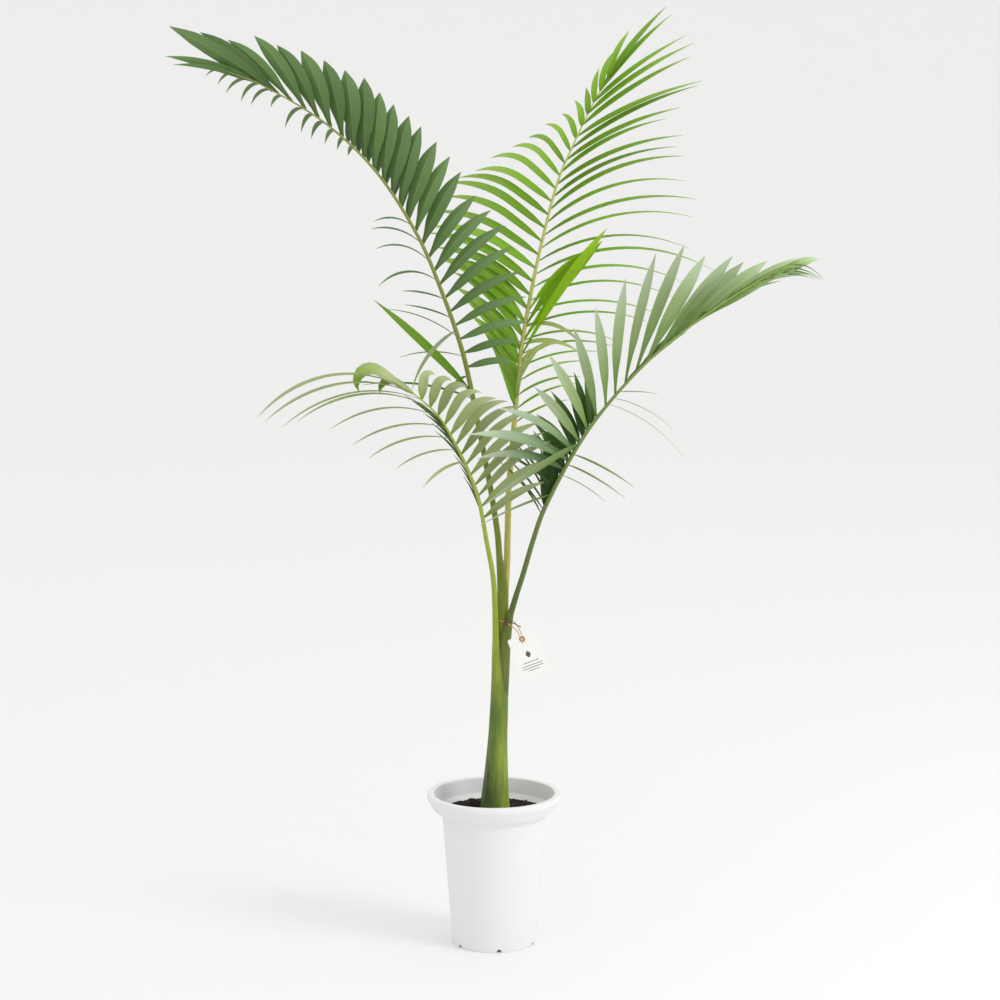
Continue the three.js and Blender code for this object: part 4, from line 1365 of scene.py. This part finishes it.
class PALM_OT_leaflets(bpy.types.Operator):
    """Grows every row of leaflets along its stalk"""
    bl_idname = "palm.leaflets"
    bl_label = "Leaflets"

    SLOTS = {"high_left": "dark_blade", "high_right": "bright_blade",
             "right": "grey_blade", "low_left": "pale_blade"}
    VECTORS = ("root", "start", "axle", "across")
    SEED_STEP = 10      # leaves each group's draws apart from the next one's
    SINGLE_SEED = 7

    # The groups of each frond that stand in for a row of the design
    ROWS = {
        "high_left": ("upper", "lower"), "high_right": ("left", "right", "unsplit"),
        "right": ("upper", "lower"), "low_left": ("right", "left"),
    }

    def execute(self, context):
        self.steps = context.scene.palm_plant.rings
        self.blade = context.scene.palm_plant.blade
        self.tree = leaflet_tree()
        skins = self.skins(context.scene.palm_plant)
        seed = 1
        for key, frond in FRONDS.items():
            for name, group in frond["groups"].items():
                seed += self.SEED_STEP
                skin = skins.get((key, name), skins[key])
                made = self.grow(f"{key}_{name}", frond, group, seed, skin)
                nodes = [f"{key}_{name}_leaflets"] if name in self.ROWS[key] else []
                ride(made, self.SLOTS[key], *nodes)
        for name, (key, place, group) in SINGLES.items():
            group = {**group, "count": 1, "start": place, "end": place}
            made = self.grow(f"{key}_{name}", FRONDS[key], group, self.SINGLE_SEED, skins[name])
            ride(made, self.SLOTS[key])
        return {"FINISHED"}

    def grow(self, name, frond, group, seed, skin):
        points = leaflet_points(frond, group, seed)
        mesh = bpy.data.meshes.new("roots")
        mesh.from_pydata([tuple(p) for p in points["root"]], [], [])
        for field, values in points.items():
            kind = "FLOAT_VECTOR" if field in self.VECTORS else "FLOAT"
            write_attribute(mesh, field, kind, values)
        made = grown(f"{name}_blades", mesh, self.tree, {
            "Steps": self.steps, "Thickness": self.blade, "Material": skin,
        })
        for spare in (*points, "blank"):
            if spare != "leaf_shade" and spare in made.data.attributes:
                made.data.attributes.remove(made.data.attributes[spare])
        return made

    # Each skin's name, its colours at a leaflet's base, middle and tip, the share of grey on its
    # underside, how much light comes through it, and its roughness. Where the middle is a setting,
    # the base and the tip are mixed from it and another colour.
    SKINS = {
        "high_left": (
            "leaf_old_green", ("#34501c", 0.5), "old_green", ("#84a468", 0.5), 0.06, 0.22, 0.42),
        "high_right": (
            "leaf_new_green", ("#4f7a12", 0.4), "new_green", ("#c6d68c", 0.6), 0.05, 0.5, 0.42),
        ("high_right", "unsplit"): (
            "leaf_lime", "#8fb818", "#9cc418", "#aed032", 0.05, 0.55, 0.42),
        ("high_right", "straw"): (
            "leaf_straw", "#b4c06a", "#ccd68e", "#d8dca8", 0.1, 0.5, 0.42),
        "lime": ("leaf_fresh", "#6d9a1c", "#86b02a", "#93b83c", 0.05, 0.5, 0.42),
        "pale": ("leaf_pale", "#a9b88a", "#bcc8a4", "#b4c48c", 0.1, 0.4, 0.42),
        "wisp": ("leaf_wisp", "#4a6a2c", "#5c7c3c", "#74904c", 0.0, 0.3, 0.42),
        # Painted light: the pale base and middle are painted sheen, and the bright green tip is
        # painted light shining through the fold.
        ("low_left", "folded"): (
            "leaf_folded", "#b4bf8c", "#c2c99e", "#8eb020", 0.1, 0.4, 0.42),
        # Painted highlight: the pale tip colour stands for the gloss on these leaflets.
        ("right", "front"): ("leaf_satin", "#4c6e38", "#84a070", "#c4d0b8", 0.2, 0.2, 0.34),
        ("right", "strays"): ("leaf_stray", "#2c4a10", "#4a6e22", "#8aa060", 0.0, 0.2, 0.42),
        ("right", "dark"): ("leaf_deep", "#284410", "#3c6018", "#6c8c44", 0.0, 0.2, 0.42),
        # Painted shade: a darker copy for the shaded undersides of the leaflets below the stalk.
        ("right", "lower"): ("leaf_rich", "#355c16", "#4f7a24", "#a0b47c", 0.1, 0.25, 0.42),
        ("right", "drooping"): ("leaf_edge", "#4c7a1c", "#6c9430", "#a8b888", 0.1, 0.3, 0.42),
        ("low_left", "bundle"): (
            "leaf_shaded", "#35541a", "#446822", "#6c8c40", 0.0, 0.2, 0.42),
        # Painted sheen: the tip is mixed towards a pale silver, standing for the gloss that the
        # leaflets show.
        "right": (
            "leaf_silver_green", ("#5a8a2c", 0.8), "silver_green", ("#d2dcc8", 0.75),
            0.1, 0.35, 0.36),
        # Painted sheen: the tip is mixed towards a pale grey-green, standing for the gloss that the
        # leaflets show.
        "low_left": (
            "leaf_sage", ("#7f9a34", 0.6), "sage", ("#ced4b4", 0.5), 0.15, 0.35, 0.36),
    }

    def skins(self, settings):
        made = {}
        for key, (name, base, middle, tip, *finish) in self.SKINS.items():
            if middle.startswith("#"):
                shades = [linear(base), linear(middle), linear(tip)]
            else:
                own = linear(getattr(settings, middle))
                shades = [
                    mixed(own, linear(base[0]), base[1]), own, mixed(own, linear(tip[0]), tip[1]),
                ]
            made[key] = leaf_blade(name, *shades, *finish)
        return made


# ------------------------------------------------------------------ plant tag

class PALM_OT_tag(bpy.types.Operator):
    """Makes the blank plant tag, its eyelet and the tie that goes round the top of the stem"""
    bl_idname = "palm.tag"
    bl_label = "Plant tag"

    # The tie's route in millimetres: from in front of the eyelet, round the stem and back through
    TIE = (
        (41, -38, 500), (36, -30, 509), (25, -21, 517), (14, -15, 521), (4.5, -8, 522),
        (0.5, 3, 522), (6, 11.5, 521), (17, 13, 520), (29, 6, 518), (36, -7, 514), (41, -20, 507),
        (44, -29, 500), (44.2, -36, 496.5), (45, -42, 492),
    )
    TIE_END = ((15, -17, 520), (20, -21, 522), (27, -24, 521), (34, -27, 519), (42, -29, 515))
    TIE_KNOT = (
        (18, -18, 518), (20.5, -21.5, 520), (19, -20.5, 523), (16.5, -18, 522), (17.5, -20, 519.5),
        (21, -21.5, 518),
    )
    TIE_RADIUS, END_RADIUS, KNOT_RADIUS = 0.85, 0.8, 1.5
    TIE_STEPS = 90
    TIE_SIDES = 10

    TURN, UPRIGHT, LEAN = math.radians(-8), math.radians(90), math.radians(22)
    DROP = 6 * MM                   # from the eyelet's middle up to the card's top
    CORNER = 3 * MM
    HOLE = 3.5 * MM
    HALF_CARD = 0.35                # half of the card's thickness, in millimetres
    INK_LEVEL = 0.42 * MM           # the back of the ink, just proud of the card
    INK = 0.05 * MM
    LEAF_MARK = (4, 20, 11)         # its half width, its top below the eyelet, and its height
    RULES = ((26, -38), (34, -43), (34, -47), (18, -51))    # widths, and heights from the eyelet
    HALF_RULE = 0.45 * MM

    # The eyelet's section, as radius and depth in millimetres
    EYELET = (
        (2.1, -0.7), (2.5, -1), (4.6, -0.75), (4.6, -0.5), (3.3, -0.42), (3.3, 0.42), (4.6, 0.5),
        (4.6, 0.75), (2.5, 1), (2.1, 0.7),
    )
    EYELET_STEPS = 40

    def execute(self, context):
        settings = context.scene.palm_tag
        low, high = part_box("tag_eyelet")
        self.place = (
            Matrix.Translation((low + high) / 2) @ Matrix.Rotation(self.TURN, 4, "Z")
            @ Matrix.Rotation(self.UPRIGHT, 4, "X") @ Matrix.Rotation(self.LEAN, 4, "Z")
        )
        paper = plain_material("coated_card", linear(settings.paper), 0.5, grain=900.0)
        ink = plain_material("printed_ink", linear(settings.ink), 0.6)
        brass = plain_material("pressed_brass", linear("#b08a62"), 0.35, metallic=1.0)
        jute = plain_material("jute_twine", linear("#6b4630"), 0.85, grain=2500.0, depth=0.4)
        cotton = plain_material("waxed_cotton", linear("#d9a86c"), 0.7, grain=2500.0, depth=0.3)
        ride(self.card(settings, paper), "tag_paper", "tag_card")
        ride(self.print_marks(settings, ink), "tag_paper")
        ride(self.eyelet(brass), "tag_eyelet", "tag_eyelet")
        strand = self.tie("tag_tie_strand", self.TIE, self.TIE_RADIUS, cotton)
        ride(strand, "tag_cord", "tag_tie")
        ride(self.tie("tag_tie_end", self.TIE_END, self.END_RADIUS, jute), "tag_cord")
        ride(self.tie("tag_tie_knot", self.TIE_KNOT, self.KNOT_RADIUS, jute), "tag_cord")
        return {"FINISHED"}

    def card(self, settings, material):
        half, top, bottom = settings.width / 2, self.DROP, self.DROP - settings.height
        outline = []
        corners = ((half, top), (-half, top), (-half, bottom), (half, bottom))
        for quarter, (x, y) in enumerate(corners):
            middle = Vector((x - math.copysign(self.CORNER, x), y - math.copysign(self.CORNER, y)))
            for step in range(7):
                angle = math.radians(90 * quarter + 15 * step)
                outline.append(middle + Vector((math.cos(angle), math.sin(angle))) * self.CORNER)
        count = len(outline)
        hole = [Vector((math.cos(a), math.sin(a))) * self.HOLE
                for a in (math.tau * i / count for i in range(count))]
        rings = []
        thick = self.HALF_CARD
        for points, depth in ((hole, thick), (outline, thick), (outline, -thick), (hole, -thick)):
            rings.append([self.place @ Vector((p.x, p.y, depth * MM)) for p in points])
        rings.append(rings[0])
        mesh = rings_mesh("card", rings, closed_ends=False)
        self.weld(mesh)
        mesh.shade_flat()
        return new_object("tag_blank_card", mesh, [material])

    @staticmethod
    def weld(mesh):
        work = bmesh.new()
        work.from_mesh(mesh)
        bmesh.ops.remove_doubles(work, verts=work.verts, dist=1e-6)
        bmesh.ops.recalc_face_normals(work, faces=work.faces)
        work.to_mesh(mesh)
        work.free()

    def print_marks(self, settings, material):
        """A plain leaf shape and four rules, as a skin of ink just proud of the card."""
        half, top, long = self.LEAF_MARK
        leaf = [Vector((math.sin(math.pi * s) * half * MM * side, (-top - long * s) * MM))
                for side, run in ((1, range(0, 11)), (-1, range(9, 0, -1)))
                for s in (i / 10 for i in run)]
        shapes = [leaf]
        for width, y in self.RULES:
            half, low, high = width / 2 * MM, y * MM - self.HALF_RULE, y * MM + self.HALF_RULE
            corners = ((half, low), (half, high), (-half, high), (-half, low))
            shapes.append([Vector(corner) for corner in corners])
        vertices, faces = [], []
        for shape in shapes:
            first, count = len(vertices), len(shape)
            for height in (self.INK_LEVEL, self.INK_LEVEL + self.INK):
                vertices += [self.place @ Vector((p.x, p.y, height)) for p in shape]
            faces.append(tuple(first + i for i in reversed(range(count))))
            faces.append(tuple(first + count + i for i in range(count)))
            for i in range(count):
                j = (i + 1) % count
                faces.append((first + i, first + j, first + count + j, first + count + i))
        mesh = mesh_from("print", vertices, faces, smooth=False)
        self.weld(mesh)
        return new_object("tag_print", mesh, [material])

    def eyelet(self, material):
        rings = []
        for step in range(self.EYELET_STEPS):
            angle = math.tau * step / self.EYELET_STEPS
            out = Vector((math.cos(angle), math.sin(angle), 0))
            rings.append([self.place @ ((out * r + UP * z) * MM) for r, z in self.EYELET])
        rings.append(rings[0])
        mesh = rings_mesh("eyelet", rings, closed_ends=False)
        self.weld(mesh)
        mesh.shade_smooth()
        mesh.set_sharp_from_angle(angle=math.radians(50))
        return new_object("tag_eyelet_ring", mesh, [material])

    def tie(self, name, knots, radius, material):
        route, count = Route(knots), self.TIE_STEPS
        mesh = line_mesh([route.at(i / count) for i in range(count + 1)])
        write_attribute(mesh, "radius", "FLOAT", [radius * MM] * (count + 1))
        return grown(name, mesh, stalk_tree(), {"Sides": self.TIE_SIDES, "Material": material})


# ------------------------------------------------------------------ stage

class PALM_OT_stage(bpy.types.Operator):
    """Sets the camera, the pale floor with its swept-up backdrop, and soft studio light"""
    bl_idname = "palm.stage"
    bl_label = "Stage"

    CAMERA_X = 9.5 * MM
    SENSOR = 36                     # millimetres
    FAR = 60
    KEY_PLACE, KEY_SIZE, KEY_WATTS = (3.4, -1.9, 2.4), 2.0, 54
    KEY_AIM = Vector((0, 0, 0.7))
    SKY = 1.0                       # strength of the even light from all sides

    # The floor: its flat part's rings, and the radius, angle and steps of the sweep at its rim
    FLAT = (0.05, 3.0, 7.0)
    SWEEP, SWEEP_ANGLE, SWEEP_STEPS = 4, math.radians(78), 12
    FLOOR_STEPS = 96

    def execute(self, context):
        settings = context.scene.palm_stage
        scene = context.scene
        lens = bpy.data.cameras.new("camera")
        lens.lens = settings.lens
        lens.sensor_width = self.SENSOR
        lens.clip_end = self.FAR
        camera = bpy.data.objects.new("camera", lens)
        camera.location = (self.CAMERA_X, -settings.distance, settings.height)
        camera.rotation_euler = (math.pi / 2 - settings.tilt, 0, 0)
        scene.collection.objects.link(camera)
        scene.camera = camera
        self.backdrop(linear(settings.floor))
        self.lamp("key", self.KEY_PLACE, self.KEY_SIZE, self.KEY_WATTS)
        world = bpy.data.worlds.new("studio")
        world.use_nodes = True
        sky = world.node_tree.nodes["Background"]
        feed(world.node_tree, sky, {"Color": WHITE, "Strength": self.SKY})
        scene.world = world
        scene.view_settings.view_transform = "Standard"
        return {"FINISHED"}

    def backdrop(self, shade):
        """A round floor whose rim sweeps up, so that it fills the view from any side."""
        outline = [(radius, 0.0) for radius in self.FLAT]
        for step in range(1, self.SWEEP_STEPS + 1):
            angle = self.SWEEP_ANGLE * step / self.SWEEP_STEPS
            outline.append((
                self.FLAT[-1] + self.SWEEP * math.sin(angle), self.SWEEP * (1 - math.cos(angle)),
            ))
        steps = self.FLOOR_STEPS
        vertices = [
            (r * math.sin(math.tau * i / steps), r * math.cos(math.tau * i / steps), z)
            for i in range(steps) for r, z in outline
        ]
        size = len(outline)
        faces = [tuple(reversed([i * size for i in range(steps)]))]
        for i in range(steps):
            here, there = i * size, (i + 1) % steps * size
            faces += [(here + k, here + k + 1, there + k + 1, there + k) for k in range(size - 1)]
        mesh = mesh_from("studio_floor", vertices, faces)
        paper = plain_material("floor_paper", shade, 0.95, grain=700.0)
        new_object("studio_floor", mesh, [paper])

    def lamp(self, name, place, size, power):
        light = bpy.data.lights.new(name, "AREA")
        light.shape = "DISK"
        light.size = size
        light.energy = power
        made = bpy.data.objects.new(name, light)
        made.location = place
        aim = self.KEY_AIM - Vector(place)
        made.rotation_euler = aim.to_track_quat("-Z", "Y").to_euler()
        bpy.context.scene.collection.objects.link(made)


# ------------------------------------------------------------------ add-on

STEPS = (PALM_OT_stage, PALM_OT_pot, PALM_OT_soil, PALM_OT_stem, PALM_OT_stalks,
         PALM_OT_leaflets, PALM_OT_tag)


class PALM_PT_panel(bpy.types.Panel):
    """Lists the settings and the steps that build the palm"""
    bl_label = "Potted Palm"
    bl_idname = "PALM_PT_panel"
    bl_space_type = "VIEW_3D"
    bl_region_type = "UI"
    bl_category = "Palm"

    def draw(self, context):
        for name in SETTINGS:
            box = self.layout.box()
            group = getattr(context.scene, name)
            for field in group.bl_rna.properties.keys():
                if field not in ("rna_type", "name"):
                    box.prop(group, field)
        for step in STEPS:
            self.layout.operator(step.bl_idname)


CLASSES = (*SETTINGS.values(), *STEPS, PALM_PT_panel)


def register():
    for item in CLASSES:
        bpy.utils.register_class(item)
    for name, group in SETTINGS.items():
        setattr(bpy.types.Scene, name, bpy.props.PointerProperty(type=group))


def unregister():
    for name in SETTINGS:
        delattr(bpy.types.Scene, name)
    for item in reversed(CLASSES):
        bpy.utils.unregister_class(item)


def main():
    register()
    bpy.ops.palm.stage()
    bpy.ops.palm.pot()
    bpy.ops.palm.soil()
    bpy.ops.palm.stem()
    bpy.ops.palm.stalks()
    bpy.ops.palm.leaflets()
    bpy.ops.palm.tag()


if __name__ == "__main__":
    main()
